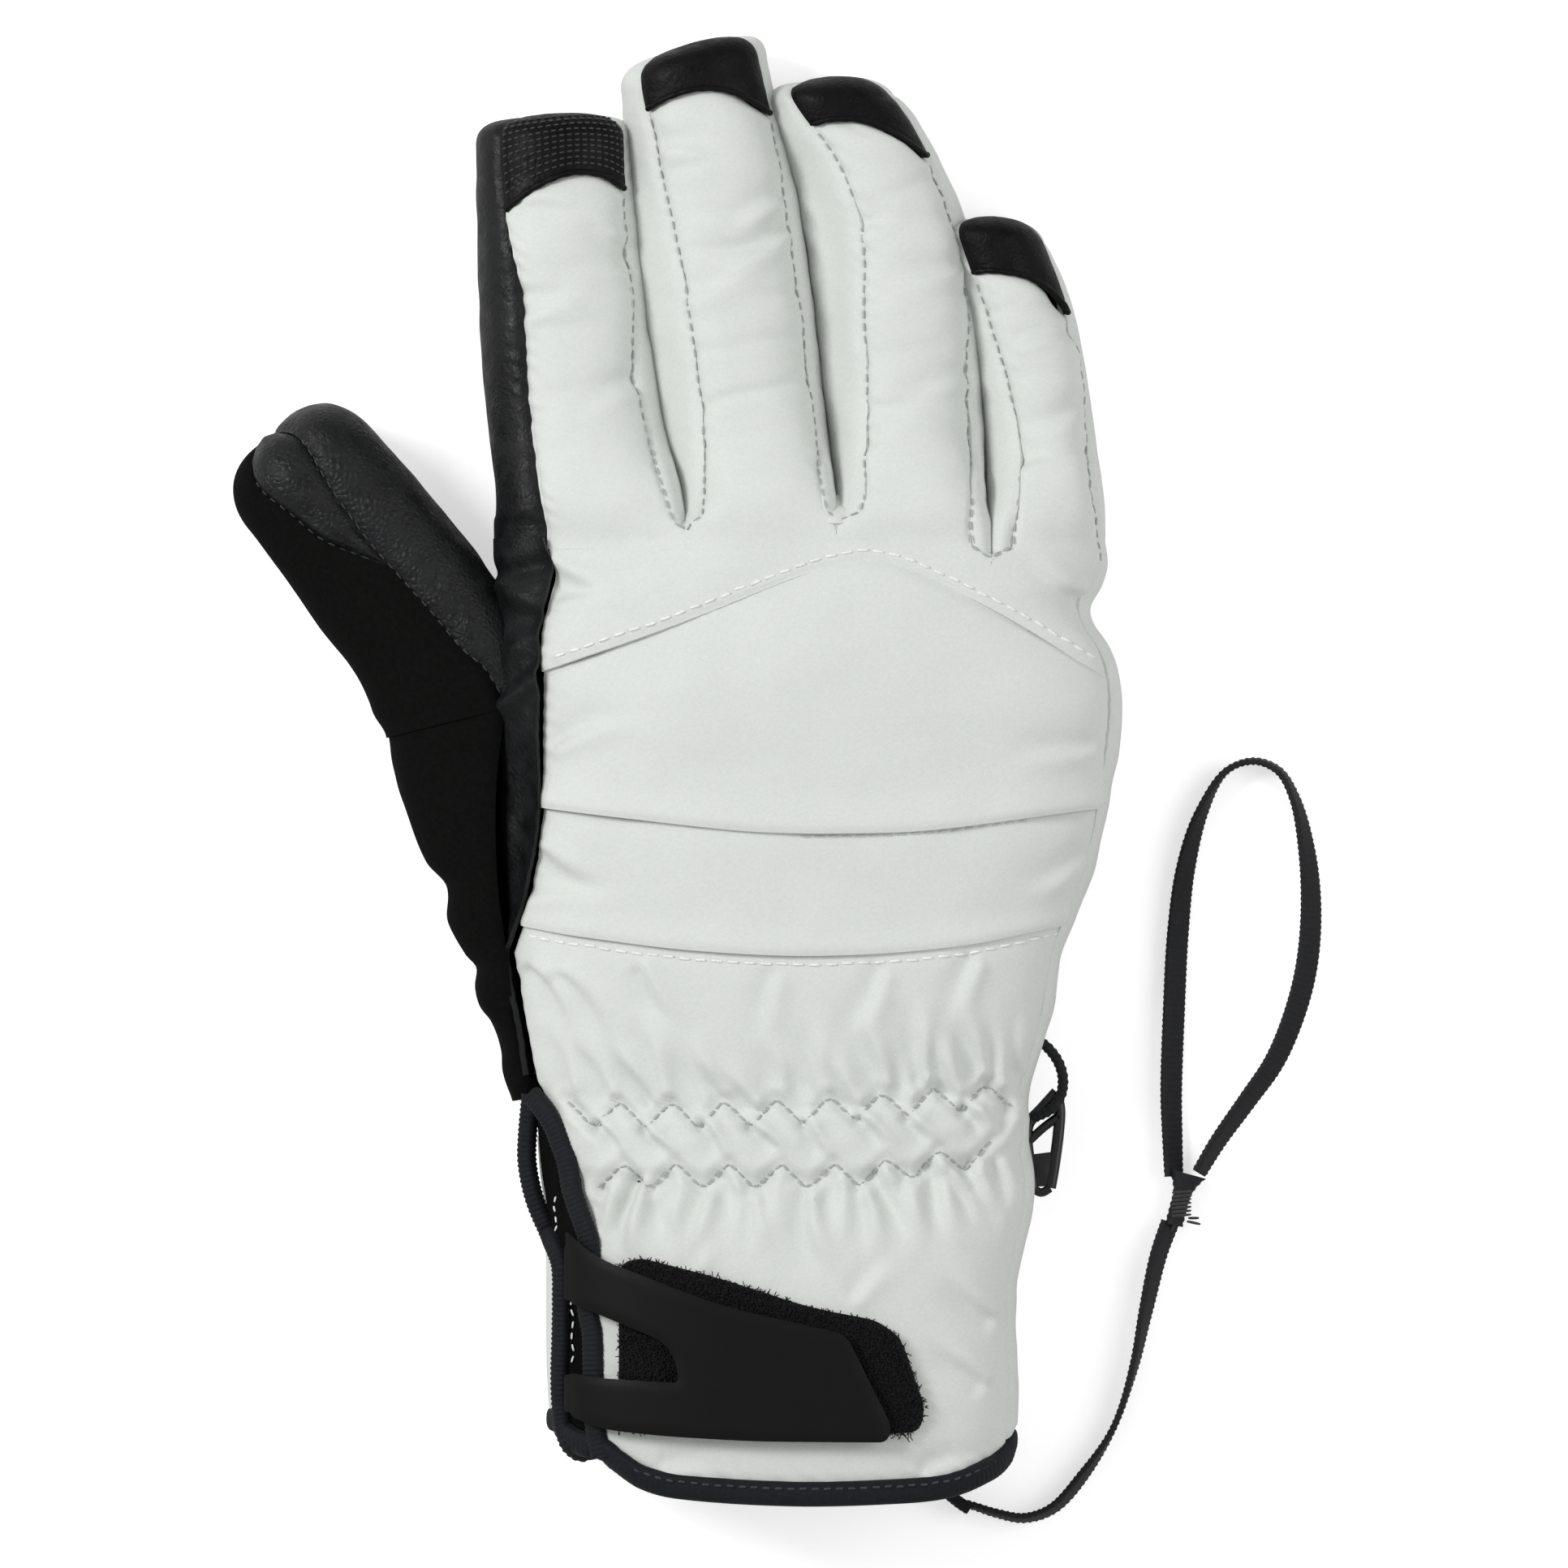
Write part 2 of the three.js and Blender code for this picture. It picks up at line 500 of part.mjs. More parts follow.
/** A piece of even thickness lying on the back of the gauntlet, over a plan outline. */
function onBack(corners, lift, thick) {
  const span = [HEM_Y + 1, cuffTop];
  const slab = plate(handSurface, span, [40, 168], [-lift - thick, -lift], 6, 22);
  return slab.intersect(prism(corners, 10));
}
const patchLift = GAP;
const padLift = patchLift + PILE + GAP;
const strapLift = padLift + HOOK_PAD + GAP;
add("loop_patch", onBack([
  [-36.5, strapLow + 3], [-36.5, strapHigh - 2], [-31, strapHigh - 1.5], [8, strapHigh - 12],
  [14.5, strapHigh - 15], [20, strapLow + 4], [17, strapLow], [13, strapLow - 0.5],
], patchLift, PILE), "pile");
add("strap_hook_pad", onBack([
  [-26, strapLow + 3], [-26, strapHigh - 11], [2, strapHigh - 18], [strapEndX - 4, strapLow + 4],
  [strapEndX - 6, strapLow + 2],
], padLift, HOOK_PAD), "pile");
add("strap_tab", onBack([
  [strapRootX, strapHigh], [-41.9, strapHigh - 1], [-32.6, strapHigh - 5], [-20.2, strapHigh - 9],
  [4, strapHigh - 15], [strapEndX, strapLow + 4], [strapEndX - 1.5, strapLow], [-25, strapLow],
  [strapRootX, strapLow + 1.5], [strapRootX, strapLow + 11], [-41.9, strapLow + 10], [-27.5, strapLow + 10.5],
  [-33, strapLow + 19], [-41.9, strapLow + 22], [strapRootX, strapLow + 27],
], strapLift, STRAP_THICK), "strap");
const anchorAngles = [SLIT_NEAR + BINDING_ANGLE + 8, SLIT_FAR - SEAM_ANGLE];
const anchorInsets = [-STRAP_THICK, SHELL];
const anchor = plate(handSurface, [strapLow + 2, strapHigh - 1], anchorAngles, anchorInsets, 4, 3);
add("strap_anchor", anchor, "strap");

// ---- Clip on its cord ---------------------------------------------------------------------------
const CLIP_Z = 12;
const clipX = PALM_AXIS_X + handRight(WRIST_Y) + 6.4;
const clipTop = WRIST_Y + 7;

/** The flat clip with its two windows, its long side along Y. */
function clip() {
  const half = CLIP_WIDTH / 2;
  const bar = 1.5;
  const inner = half - bar;
  const block = (corners) => {
    const placed = corners.map(([x, y]) => [clipX + x, clipTop - y * CLIP_LENGTH]);
    return prism(placed, CLIP_Z - CLIP_THICK / 2, CLIP_Z + CLIP_THICK / 2);
  };
  const corners = [[-half, 0], [half, 0], [half, 0.55], [half * 0.65, 1], [-half * 0.3, 1], [-half, 0.6]];
  const outline = block(corners);
  const upperWindow = block([[-inner, 0.14], [inner, 0.14], [0, 0.42]]);
  const lowerWindow = block([[0.3 - inner, 0.54], [inner, 0.4], [inner * 0.6, 0.8]]);
  return outline.subtract(upperWindow).subtract(lowerWindow);
}
add("clip", clip(), "clip");

/** A cord or tape along hand-picked points: an even section swept along a smooth curve. */
function sweep(points, width, thick, sides, steps, lean = 0) {
  const curve = new THREE.CatmullRomCurve3(points.map((p) => new THREE.Vector3(...p)), false, "centripetal");
  const outline = Array.from({ length: sides }, (_, i) => {
    const turn = 2 * Math.PI * (i + 0.5) / sides;
    const point = new THREE.Vector2(Math.cos(turn) * width / 2, Math.sin(turn) * thick / 2);
    return point.rotateAround(new THREE.Vector2(), radians(lean));
  });
  const shape = new THREE.Shape(outline);
  return solidOf(new THREE.ExtrudeGeometry(shape, { steps, bevelEnabled: false, extrudePath: curve }));
}
const seamX = PALM_AXIS_X + handRight(clipTop + 9) + GAP + CLIP_CORD / 2;
add("clip_cord", sweep([
  [seamX, clipTop + 11, CLIP_Z], [seamX + 1.5, clipTop + 7, CLIP_Z], [clipX - 0.8, clipTop + 3.5, CLIP_Z],
  [clipX - 0.4, clipTop + GAP, CLIP_Z],
], CLIP_CORD, CLIP_CORD, 8, 8), "tape");

// ---- Wrist leash --------------------------------------------------------------------------------
const LEASH_Z = TAPE_WIDTH / 2 + GAP;
const tetherPoints = [
  [26.5, -140.4], [30, -141.5], [34.1, -142.8], [39.5, -143.7], [45, -141.8], [51.2, -134.9], [56.6, -126.3],
  [60.5, -114.7],
  [62.8, -103.9], [65.3, -93], [67.5, -86.8],
];
const loopPoints = [
  [68.2, -78], [67.9, -70], [67.7, -62], [68.2, -46.5], [69, -31], [70.5, -18.6], [73.6, -7.8], [78.3, 0],
  [83.7, 1.9], [88.4, 0], [91.5, -5.4], [93.8, -15.5], [94.6, -26.4], [93.8, -37.2], [91.5, -46.5],
  [87.6, -55.8],
  [82.2, -63.6], [76.7, -71.3], [73, -77.4],
];
const laid = (points) => points.map(([x, y]) => [x, y, LEASH_Z]);
add("leash_tether", sweep(laid(tetherPoints), TAPE_WIDTH, TAPE_THICK, 8, 14), "tape");
add("leash_loop", sweep(laid(loopPoints), TAPE_WIDTH, TAPE_THICK, 8, 30, 35), "tape");
const bartack = new THREE.BoxGeometry(6.4, 7.6, TAPE_WIDTH + 0.4).rotateZ(radians(-12));
add("leash_bartack", bartack.translate(69.8, -82.4, LEASH_Z), "tape");

export default glove;
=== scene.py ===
"""The looks of a right-hand ski glove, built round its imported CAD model. Shapes are in millimetres."""

import math

import bmesh
import bpy
import numpy as np
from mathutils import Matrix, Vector


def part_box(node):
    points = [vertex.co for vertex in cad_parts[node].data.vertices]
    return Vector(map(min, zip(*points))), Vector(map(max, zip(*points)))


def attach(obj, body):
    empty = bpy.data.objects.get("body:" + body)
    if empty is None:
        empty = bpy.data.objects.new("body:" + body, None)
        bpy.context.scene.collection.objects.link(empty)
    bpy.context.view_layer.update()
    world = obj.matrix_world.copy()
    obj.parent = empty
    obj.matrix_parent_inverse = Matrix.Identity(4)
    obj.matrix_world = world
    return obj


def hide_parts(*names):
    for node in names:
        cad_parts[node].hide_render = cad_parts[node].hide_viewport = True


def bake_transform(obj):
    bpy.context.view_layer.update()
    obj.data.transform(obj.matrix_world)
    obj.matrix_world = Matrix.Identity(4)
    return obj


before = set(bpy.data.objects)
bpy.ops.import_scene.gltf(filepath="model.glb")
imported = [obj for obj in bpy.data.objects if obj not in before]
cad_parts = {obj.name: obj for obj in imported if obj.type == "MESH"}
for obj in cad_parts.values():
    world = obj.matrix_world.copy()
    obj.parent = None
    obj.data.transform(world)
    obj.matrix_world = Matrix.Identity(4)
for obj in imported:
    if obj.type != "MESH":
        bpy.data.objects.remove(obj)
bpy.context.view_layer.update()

MM = 0.001
RNG = np.random.RandomState(7)

# ---- Camera, light and floor -----------------------------------------------------------------------
VIEW_CENTRE = (-6.8, -2.5)
VIEW_WIDTH = 299.5  # what the camera sees across, at the height below
VIEW_HEIGHT = 28.0
LENS = 420.0
SENSOR = 36.0
WORLD_LIGHT = 0.46
FLOOR_HALF = 1.6  # metres, like the drop and the lamps
FLOOR_DROP = 0.0003
FLOOR_PAINT = 0.8
FLOOR_GLOW = 0.55
LAMP_TARGET = (0, -0.02, 0)
LAMPS = {"key": ((-0.85, 0.4, 0.9), 0.4, 10.0), "fill": ((0.9, 0.1, 0.95), 0.8, 5.0)}  # place, size and power


def make_camera():
    """Looks straight down, with the fingertips at the top of the picture."""
    data = bpy.data.cameras.new("camera")
    data.lens = LENS
    data.sensor_width = SENSOR
    data.clip_start = 0.01
    data.clip_end = 20
    camera = bpy.data.objects.new("camera", data)
    distance = VIEW_WIDTH * LENS / SENSOR
    camera.location = [v * MM for v in (*VIEW_CENTRE, VIEW_HEIGHT + distance)]
    bpy.context.scene.collection.objects.link(camera)
    bpy.context.scene.camera = camera


def make_lamp(name, place, size, power):
    """A soft square lamp that faces the glove."""
    data = bpy.data.lights.new(name, "AREA")
    data.size = size
    data.energy = power
    lamp = bpy.data.objects.new(name, data)
    lamp.location = place
    lamp.rotation_mode = "QUATERNION"
    lamp.rotation_quaternion = (Vector(LAMP_TARGET) - Vector(place)).to_track_quat("-Z", "Y")
    bpy.context.scene.collection.objects.link(lamp)


def shader_node(tree, kind, **inputs):
    """A new node with the given inputs set; an underscore stands for the space in an input's name."""
    node = tree.nodes.new("ShaderNode" + kind)
    for name, value in inputs.items():
        node.inputs[name.replace("_", " ")].default_value = value
    return node


def show(tree, output, lit, seen):
    """Sends one shader to the camera and another to every other ray."""
    out = shader_node(tree, output)
    pick = shader_node(tree, "MixShader")
    path = shader_node(tree, "LightPath")
    tree.links.new(path.outputs["Is Camera Ray"], pick.inputs["Fac"])
    tree.links.new(lit.outputs[0], pick.inputs[1])
    tree.links.new(seen.outputs[0], pick.inputs[2])
    tree.links.new(pick.outputs[0], out.inputs["Surface"])


def make_surroundings():
    """White to the camera, and an even studio grey to everything else."""
    world = bpy.data.worlds.new("studio")
    world.use_nodes = True
    tree = world.node_tree
    tree.nodes.clear()
    seen = shader_node(tree, "Background", Color=(1, 1, 1, 1))
    lit = shader_node(tree, "Background", Color=(1, 1, 1, 1), Strength=WORLD_LIGHT)
    show(tree, "OutputWorld", lit, seen)
    bpy.context.scene.world = world


def make_floor():
    """A plain white floor that still takes the glove's shadow."""
    mesh = bpy.data.meshes.new("floor")
    corners = [(x * FLOOR_HALF, y * FLOOR_HALF, 0) for x, y in ((-1, -1), (1, -1), (1, 1), (-1, 1))]
    mesh.from_pydata(corners, [], [(0, 1, 2, 3)])
    floor = bpy.data.objects.new("floor", mesh)
    floor.location.z = -FLOOR_DROP
    bpy.context.scene.collection.objects.link(floor)
    material = bpy.data.materials.new("floor")
    material.use_nodes = True
    tree = material.node_tree
    tree.nodes.clear()
    paint = shader_node(tree, "BsdfDiffuse", Color=(FLOOR_PAINT, FLOOR_PAINT, FLOOR_PAINT, 1))
    glow = shader_node(tree, "Emission", Strength=FLOOR_GLOW)
    total = shader_node(tree, "AddShader")
    tree.links.new(paint.outputs[0], total.inputs[0])
    tree.links.new(glow.outputs[0], total.inputs[1])
    show(tree, "OutputMaterial", paint, total)
    mesh.materials.append(material)


make_camera()
make_surroundings()
make_floor()
for lamp, (lamp_place, lamp_size, lamp_power) in LAMPS.items():
    make_lamp(lamp, lamp_place, lamp_size, lamp_power)
bpy.context.scene.view_settings.view_transform = "Standard"

# ---- Materials -------------------------------------------------------------------------------------


class Look:
    """A Principled material built up step by step from object-space noise, so it needs no unwrapping."""

    def __init__(self, name, colour, roughness, **sockets):
        self.material = bpy.data.materials.new(name)
        self.material.use_nodes = True
        self.tree = self.material.node_tree
        self.shader = self.tree.nodes["Principled BSDF"]
        self.shader.inputs["Base Color"].default_value = (*colour, 1)
        self.shader.inputs["Roughness"].default_value = roughness
        for socket, value in sockets.items():
            self.shader.inputs[socket.replace("_", " ").title().replace("Ior", "IOR")].default_value = value
        self.colour = colour
        self.coords = self.tree.nodes.new("ShaderNodeTexCoord").outputs["Object"]
        self.bump = None

    def texture(self, kind, size_mm, **inputs):
        """A texture in object space with features of about the given size."""
        node = shader_node(self.tree, kind, Scale=1000 / size_mm, **inputs)
        self.tree.links.new(self.coords, node.inputs["Vector"])
        return node

    def noise(self, size_mm, detail=3.0, rough=0.55):
        return self.texture("TexNoise", size_mm, Detail=detail, Roughness=rough).outputs["Fac"]

    def cells(self, size_mm):
        node = self.texture("TexVoronoi", size_mm)
        node.feature = "DISTANCE_TO_EDGE"
        return node.outputs["Distance"]

    def twill(self, pitch_mm, turn, distort):
        """Bands at the given pitch, turned in plan."""
        mapping = shader_node(self.tree, "Mapping", Scale=(1, 1, 1), Rotation=(0, 0, turn))
        self.tree.links.new(self.coords, mapping.inputs["Vector"])
        bands = shader_node(self.tree, "TexWave", Scale=1000 / pitch_mm * 2 * math.pi / 20,
                            Distortion=distort)
        self.tree.links.new(mapping.outputs["Vector"], bands.inputs["Vector"])
        return bands.outputs["Fac"]

    def ranged(self, factor, low, high):
        """A texture's middle range, spread from low to high."""
        node = shader_node(self.tree, "MapRange", From_Min=0.3, From_Max=0.7, To_Min=low, To_Max=high)
        self.tree.links.new(factor, node.inputs["Value"])
        return node.outputs["Result"]

    def raise_by(self, height, depth_mm, strength=1.0):
        """Adds a layer of bump on top of what is already there."""
        node = shader_node(self.tree, "Bump", Strength=strength, Distance=depth_mm * MM)
        self.tree.links.new(height, node.inputs["Height"])
        if self.bump:
            self.tree.links.new(self.bump.outputs["Normal"], node.inputs["Normal"])
        self.tree.links.new(node.outputs["Normal"], self.shader.inputs["Normal"])
        self.bump = node

    def tint(self, factor, dark, light):
        """Multiplies the colour between two brightnesses."""
        scale = shader_node(self.tree, "VectorMath")
        scale.operation = "SCALE"
        base = self.shader.inputs["Base Color"]
        if base.links:
            self.tree.links.new(base.links[0].from_socket, scale.inputs[0])
        else:
            scale.inputs[0].default_value = self.colour
        self.tree.links.new(self.ranged(factor, dark, light), scale.inputs["Scale"])
        self.tree.links.new(scale.outputs["Vector"], base)

    def vary_roughness(self, factor, low, high):
        self.tree.links.new(self.ranged(factor, low, high), self.shader.inputs["Roughness"])


def shell_look():
    look = Look("shell_fabric", (0.66, 0.685, 0.655), 0.68, sheen_weight=0.25, sheen_roughness=0.4,
                specular_ior_level=0.35)
    look.tint(look.noise(0.55, 2, 0.7), 0.955, 1.03)
    look.tint(look.noise(16, 3, 0.5), 0.985, 1.01)
    look.raise_by(look.twill(0.42, 0.9, 1.2), 0.03, 0.5)
    look.raise_by(look.noise(0.5, 2, 0.7), 0.05, 0.6)
    look.raise_by(look.noise(5, 3, 0.5), 0.22, 0.5)
    return look.material


def leather_look(name="leather", colour=(0.006, 0.0064, 0.007), gloss=0.22, grain=0.6):
    look = Look(name, colour, 0.45, specular_ior_level=gloss)
    look.vary_roughness(look.noise(3, 3, 0.6), 0.36, 0.6)
    look.tint(look.noise(6, 4, 0.6), 0.6, 1.6)
    look.raise_by(look.noise(4.5, 4, 0.6), 0.5, 0.5)
    look.raise_by(look.cells(1.15), 0.3 * grain, 0.7)
    look.raise_by(look.noise(0.5, 3, 0.6), 0.05, 0.6)
    return look.material


def softshell_look():
    look = Look("softshell", (0.0048, 0.0048, 0.0046), 0.95, specular_ior_level=0.04)
    look.tint(look.noise(1.0, 3, 0.7), 0.8, 1.25)
    look.raise_by(look.noise(0.6, 3, 0.7), 0.06, 0.5)
    return look.material


def binding_look():
    look = Look("binding", (0.0055, 0.0062, 0.0088), 0.72, sheen_weight=0.04, specular_ior_level=0.2)
    look.tint(look.noise(0.8, 3, 0.7), 0.75, 1.4)
    look.raise_by(look.noise(0.5, 3, 0.7), 0.06, 0.6)
    return look.material


def tape_look():
    look = Look("tape", (0.0062, 0.0066, 0.008), 0.66, sheen_weight=0.04, specular_ior_level=0.28)
    look.tint(look.noise(0.7, 3, 0.7), 0.7, 1.6)
    look.raise_by(look.noise(0.5, 3, 0.7), 0.08, 0.7)
    return look.material


def pile_look():
    look = Look("pile", (0.004, 0.004, 0.004), 0.85, sheen_weight=0.04, specular_ior_level=0.2)
    look.tint(look.noise(1.1, 4, 0.75), 0.3, 2.2)
    look.raise_by(look.noise(0.7, 4, 0.75), 0.5, 0.9)
    return look.material


def strap_look():
    look = Look("strap", (0.0062, 0.0060, 0.0058), 0.55, specular_ior_level=0.1)
    look.vary_roughness(look.noise(6, 3, 0.6), 0.46, 0.58)
    look.raise_by(look.noise(0.4, 2, 0.6), 0.02, 0.4)
    return look.material


def plastic_look():
    look = Look("clip_plastic", (0.004, 0.004, 0.0044), 0.3, specular_ior_level=0.5)
    look.vary_roughness(look.noise(2, 3, 0.6), 0.25, 0.4)
    look.raise_by(look.noise(0.8, 2, 0.5), 0.02, 0.3)
    return look.material


def lining_look():
    look = Look("lining", (0.06, 0.062, 0.068), 0.95, sheen_weight=0.2, specular_ior_level=0.2)
    look.tint(look.noise(1.6, 3, 0.7), 0.7, 1.3)
    look.raise_by(look.noise(1.2, 3, 0.7), 0.4, 0.7)
    return look.material


def thread_look(name, colour):
    look = Look(name, colour, 0.55, sheen_weight=0.2)
    look.tint(look.noise(0.5, 2, 0.7), 0.85, 1.1)
    look.raise_by(look.noise(0.3, 2, 0.6), 0.04, 0.6)
    return look.material


LOOKS = {
    "shell": shell_look(),
    "leather": leather_look(),
    "grained_leather": leather_look("grained_leather", (0.006, 0.0064, 0.007), 0.24, 1.3),
    "cap_leather": leather_look("cap_leather", (0.0028, 0.0028, 0.003), 0.12),
    "softshell": softshell_look(),
    "binding": binding_look(),
    "tape": tape_look(),
    "pile": pile_look(),
    "strap": strap_look(),
    "plastic": plastic_look(),
    "lining": lining_look(),
    "white_thread": thread_look("white_thread", (0.84, 0.85, 0.83)),
    "grey_thread": thread_look("grey_thread", (0.40, 0.42, 0.41)),
    "pale_thread": thread_look("pale_thread", (0.60, 0.62, 0.60)),
    "black_thread": thread_look("black_thread", (0.02, 0.02, 0.022)),
}

# ---- Numbers along a line, and noise ---------------------------------------------------------------


def profile(rows):
    """A smooth function through (station, value) rows, flat beyond both ends."""
    at = np.array([row[0] for row in rows], float)
    value = np.array([row[1] for row in rows], float)
    before = np.r_[0, np.arange(len(at) - 1)]
    after = np.r_[np.arange(1, len(at)), len(at) - 1]
    slope = (value[after] - value[before]) / (at[after] - at[before])

    def smooth(x):
        x = np.clip(x, at[0], at[-1])
        i = np.clip(np.searchsorted(at, x, side="right") - 1, 0, len(at) - 2)
        span = at[i + 1] - at[i]
        s = (x - at[i]) / span
        lean = s * (1 - s) * ((1 - s) * slope[i] - s * slope[i + 1]) * span
        return value[i] + (value[i + 1] - value[i]) * s * s * (3 - 2 * s) + lean

    return smooth


def smoothstep(x):
    x = np.clip(x, 0, 1)
    return x * x * (3 - 2 * x)


LATTICE = np.random.RandomState(3).uniform(-1, 1, (32, 32, 32))


def noise(points, size, shift=0.0):
    """Smooth noise from -1 to 1 with features of about the given size, which may differ by axis."""
    p = points / np.asarray(size, float) + shift
    base = np.floor(p).astype(int)
    f = p - base
    f = f * f * (3 - 2 * f)
    total = 0.0
    for corner in range(8):
        step = np.array([corner & 1, corner >> 1 & 1, corner >> 2 & 1])
        cell = (base + step) % 32
        weight = np.prod(np.where(step, f, 1 - f), axis=-1)
        total = total + weight * LATTICE[cell[..., 0], cell[..., 1], cell[..., 2]]
    return total


# ---- The glove's surfaces --------------------------------------------------------------------------
PALM_AXIS_X = -3.0
ROOT_Y = 44.0
HEM_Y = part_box("hem_binding")[0][1] / MM
WRIST_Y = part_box("cuff_back_panel")[1][1] / MM + 0.35
ROUNDNESS = 2.6
SINK = 3.0


def bulged(wave, power):
    """A cosine or sine raised to a power with its sign kept, which squares a section or rounds it off."""
    return np.sign(wave) * np.abs(wave) ** power


def section(angle, left, right, height, inset=0.0, shrink=1.0, roundness=ROUNDNESS):
    """Points of a stuffed section, as sideways and up, at an inset from its outer skin."""
    c, s = np.cos(np.radians(angle)), np.sin(np.radians(angle))
    reach = np.where(c < 0, left, right) - inset
    half = (height + SINK) / 2 - inset
    middle = (height - SINK) / 2
    side = bulged(c, 2 / roundness) * reach * shrink
    up = middle + bulged(s, 2 / roundness) * half * shrink
    return side, np.maximum(up, inset + 0.35 * (1 - np.exp(-np.maximum(inset - up, 0))))


def angle_of(fraction, roundness=ROUNDNESS):
    """The angle at which a section's upper side reaches a fraction of its half width."""
    fraction = np.clip(fraction, -0.998, 0.998)
    return np.degrees(np.arccos(bulged(fraction, roundness / 2)))


hand_left = profile([
    (HEM_Y, 46.5), (HEM_Y + 20, 48.5), (WRIST_Y - 20, 49), (WRIST_Y, 51), (WRIST_Y + 15, 53),
    (-31, 57), (-15, 58.5), (0, 59), (18, 59.5), (ROOT_Y, 59),
])
hand_right = profile([
    (HEM_Y, 38.5), (-125, 40.1), (-113, 40.4), (-99, 40.2), (-88, 42.4), (-77.5, 44.1), (WRIST_Y, 43.4),
    (-64, 43.2),
    (-55, 44.9), (-48, 46.5), (-35.7, 48.9), (-28, 51.4), (-18.6, 55.1), (-6.2, 58), (2, 59.3), (10, 60.2),
    (15.5, 60.2), (20, 59.6), (23.5, 58.2), (28.7, 54.9), (32, 54.5), (36, 56.4), (40.3, 57.7),
    (ROOT_Y, 57.2),
])
hand_height = profile([
    (HEM_Y, 38), (WRIST_Y - 20, 38), (WRIST_Y, 36), (-31, 37), (0, 38), (18, 38), (ROOT_Y, 33),
])


def hand_surface(y, angle, inset=0.0):
    side, up = section(angle, hand_left(y), hand_right(y), hand_height(y), inset)
    return np.stack([PALM_AXIS_X + side, y + 0 * side, up], -1)


def hand_angle(x, y):
    """The angle round the hand's upper side at a place in plan."""
    side = x - PALM_AXIS_X
    return angle_of(side / np.where(side < 0, hand_left(y), hand_right(y)))


CURVE_SAMPLES = 60  # to each stretch between two given points


def catmull(points, samples=CURVE_SAMPLES):
    """A dense centripetal Catmull-Rom curve through points."""
    p = np.asarray(points, float)
    p = np.vstack([2 * p[0] - p[1], p, 2 * p[-1] - p[-2]])
    out = []
    for i in range(1, len(p) - 2):
        gap = [max(np.linalg.norm(p[k + 1] - p[k]) ** 0.5, 1e-6) for k in (i - 1, i, i + 1)]
        t0, t1, t2, t3 = 0, gap[0], gap[0] + gap[1], sum(gap)
        t = np.linspace(t1, t2, samples, endpoint=False)[:, None]
        a1 = (t1 - t) / (t1 - t0) * p[i - 1] + (t - t0) / (t1 - t0) * p[i]
        a2 = (t2 - t) / (t2 - t1) * p[i] + (t - t1) / (t2 - t1) * p[i + 1]
        a3 = (t3 - t) / (t3 - t2) * p[i + 1] + (t - t2) / (t3 - t2) * p[i + 2]
        b1 = (t2 - t) / (t2 - t0) * a1 + (t - t0) / (t2 - t0) * a2
        b2 = (t3 - t) / (t3 - t1) * a2 + (t - t1) / (t3 - t1) * a3
        out.append((t2 - t) / (t2 - t1) * b1 + (t - t1) / (t2 - t1) * b2)
    out.append(p[-2][None])
    return np.vstack(out)


def lengths_along(points):
    return np.r_[0, np.cumsum(np.linalg.norm(np.diff(points, axis=0), axis=1))]


def resample(points, step=None, count=None):
    """The same line with even steps."""
    along = lengths_along(points)
    count = count or max(2, int(round(along[-1] / step)) + 1)
    want = np.linspace(0, along[-1], count)
    return np.stack([np.interp(want, along, points[:, k]) for k in range(points.shape[1])], -1)


class Digit:
    """A finger or thumb: a stuffed tube on a plan curve with a rounded tip. Stations count from its root."""

    def __init__(self, rows, tip_round, tip_power=3.0, tip_skew=0.0, root_box=0.0, lead=0.0,
                 spread=(None, None), roundness=ROUNDNESS):
        rows = np.array(rows, float)
        dense = catmull(rows[:, :2])
        along = lengths_along(dense)
        stations = along[[min(i * CURVE_SAMPLES, len(along) - 1) for i in range(len(rows))]] - lead
        self.line, self.along = dense, along - lead
        self.length = self.along[-1]
        self.half = profile(list(zip(stations, rows[:, 2])))
        self.height = profile(list(zip(stations, rows[:, 3])))
        self.spread = [profile(s) if s else (lambda u: 0.0 * u) for s in spread]
        self.tip_start, self.roundness_along = self.length - tip_round, roundness
        self.tip_round, self.tip_power, self.tip_skew = tip_round, tip_power, tip_skew
        self.root_box = root_box

    def place(self, u):
        return np.interp(u, self.along, self.line[:, 0]), np.interp(u, self.along, self.line[:, 1])

    def centre(self, u):
        """The centre line's place at a station, and its direction there."""
        x, y = self.place(u)
        (ax, ay), (bx, by) = self.place(u - 1.5), self.place(u + 1.5)
        dx, dy = bx - ax, by - ay
        size = np.hypot(dx, dy)
        return x, y, dx / size, dy / size

    def shrink(self, u):
        t = np.clip((u - self.tip_start) / self.tip_round, 0, 1)
        return (1 - t**self.tip_power) ** (1 / self.tip_power)

    def roundness(self, u):
        return self.roundness_along + self.root_box * (1 - smoothstep(u / 22))

    def reaches(self, u):
        held = np.minimum(u, self.tip_start)
        half = self.half(held)
        return half + self.spread[0](held), half + self.spread[1](held)

    def surface(self, u, angle, inset=0.0):
        u = np.asarray(u, float)
        x, y, fx, fy = self.centre(u)
        left, right = self.reaches(u)
        side, up = section(angle, left, right, self.height(np.minimum(u, self.tip_start)), inset,
                           self.shrink(u), self.roundness(u))
        ahead = self.tip_skew * side / np.maximum(left, 1) * smoothstep((u - self.tip_start + 12) / 16)
        if inset:
            ahead = ahead - inset * smoothstep((u - self.tip_start) / self.tip_round)
        return np.stack([x + fy * side + fx * ahead, y - fx * side + fy * ahead, up], -1)

    def angle(self, offset, u):
        """The angle of the upper side at a distance in millimetres to the right of the centre line."""
        u = np.asarray(u, float)
        left, right = self.reaches(u)
        return angle_of(offset / np.where(np.asarray(offset) < 0, left, right), self.roundness(u))


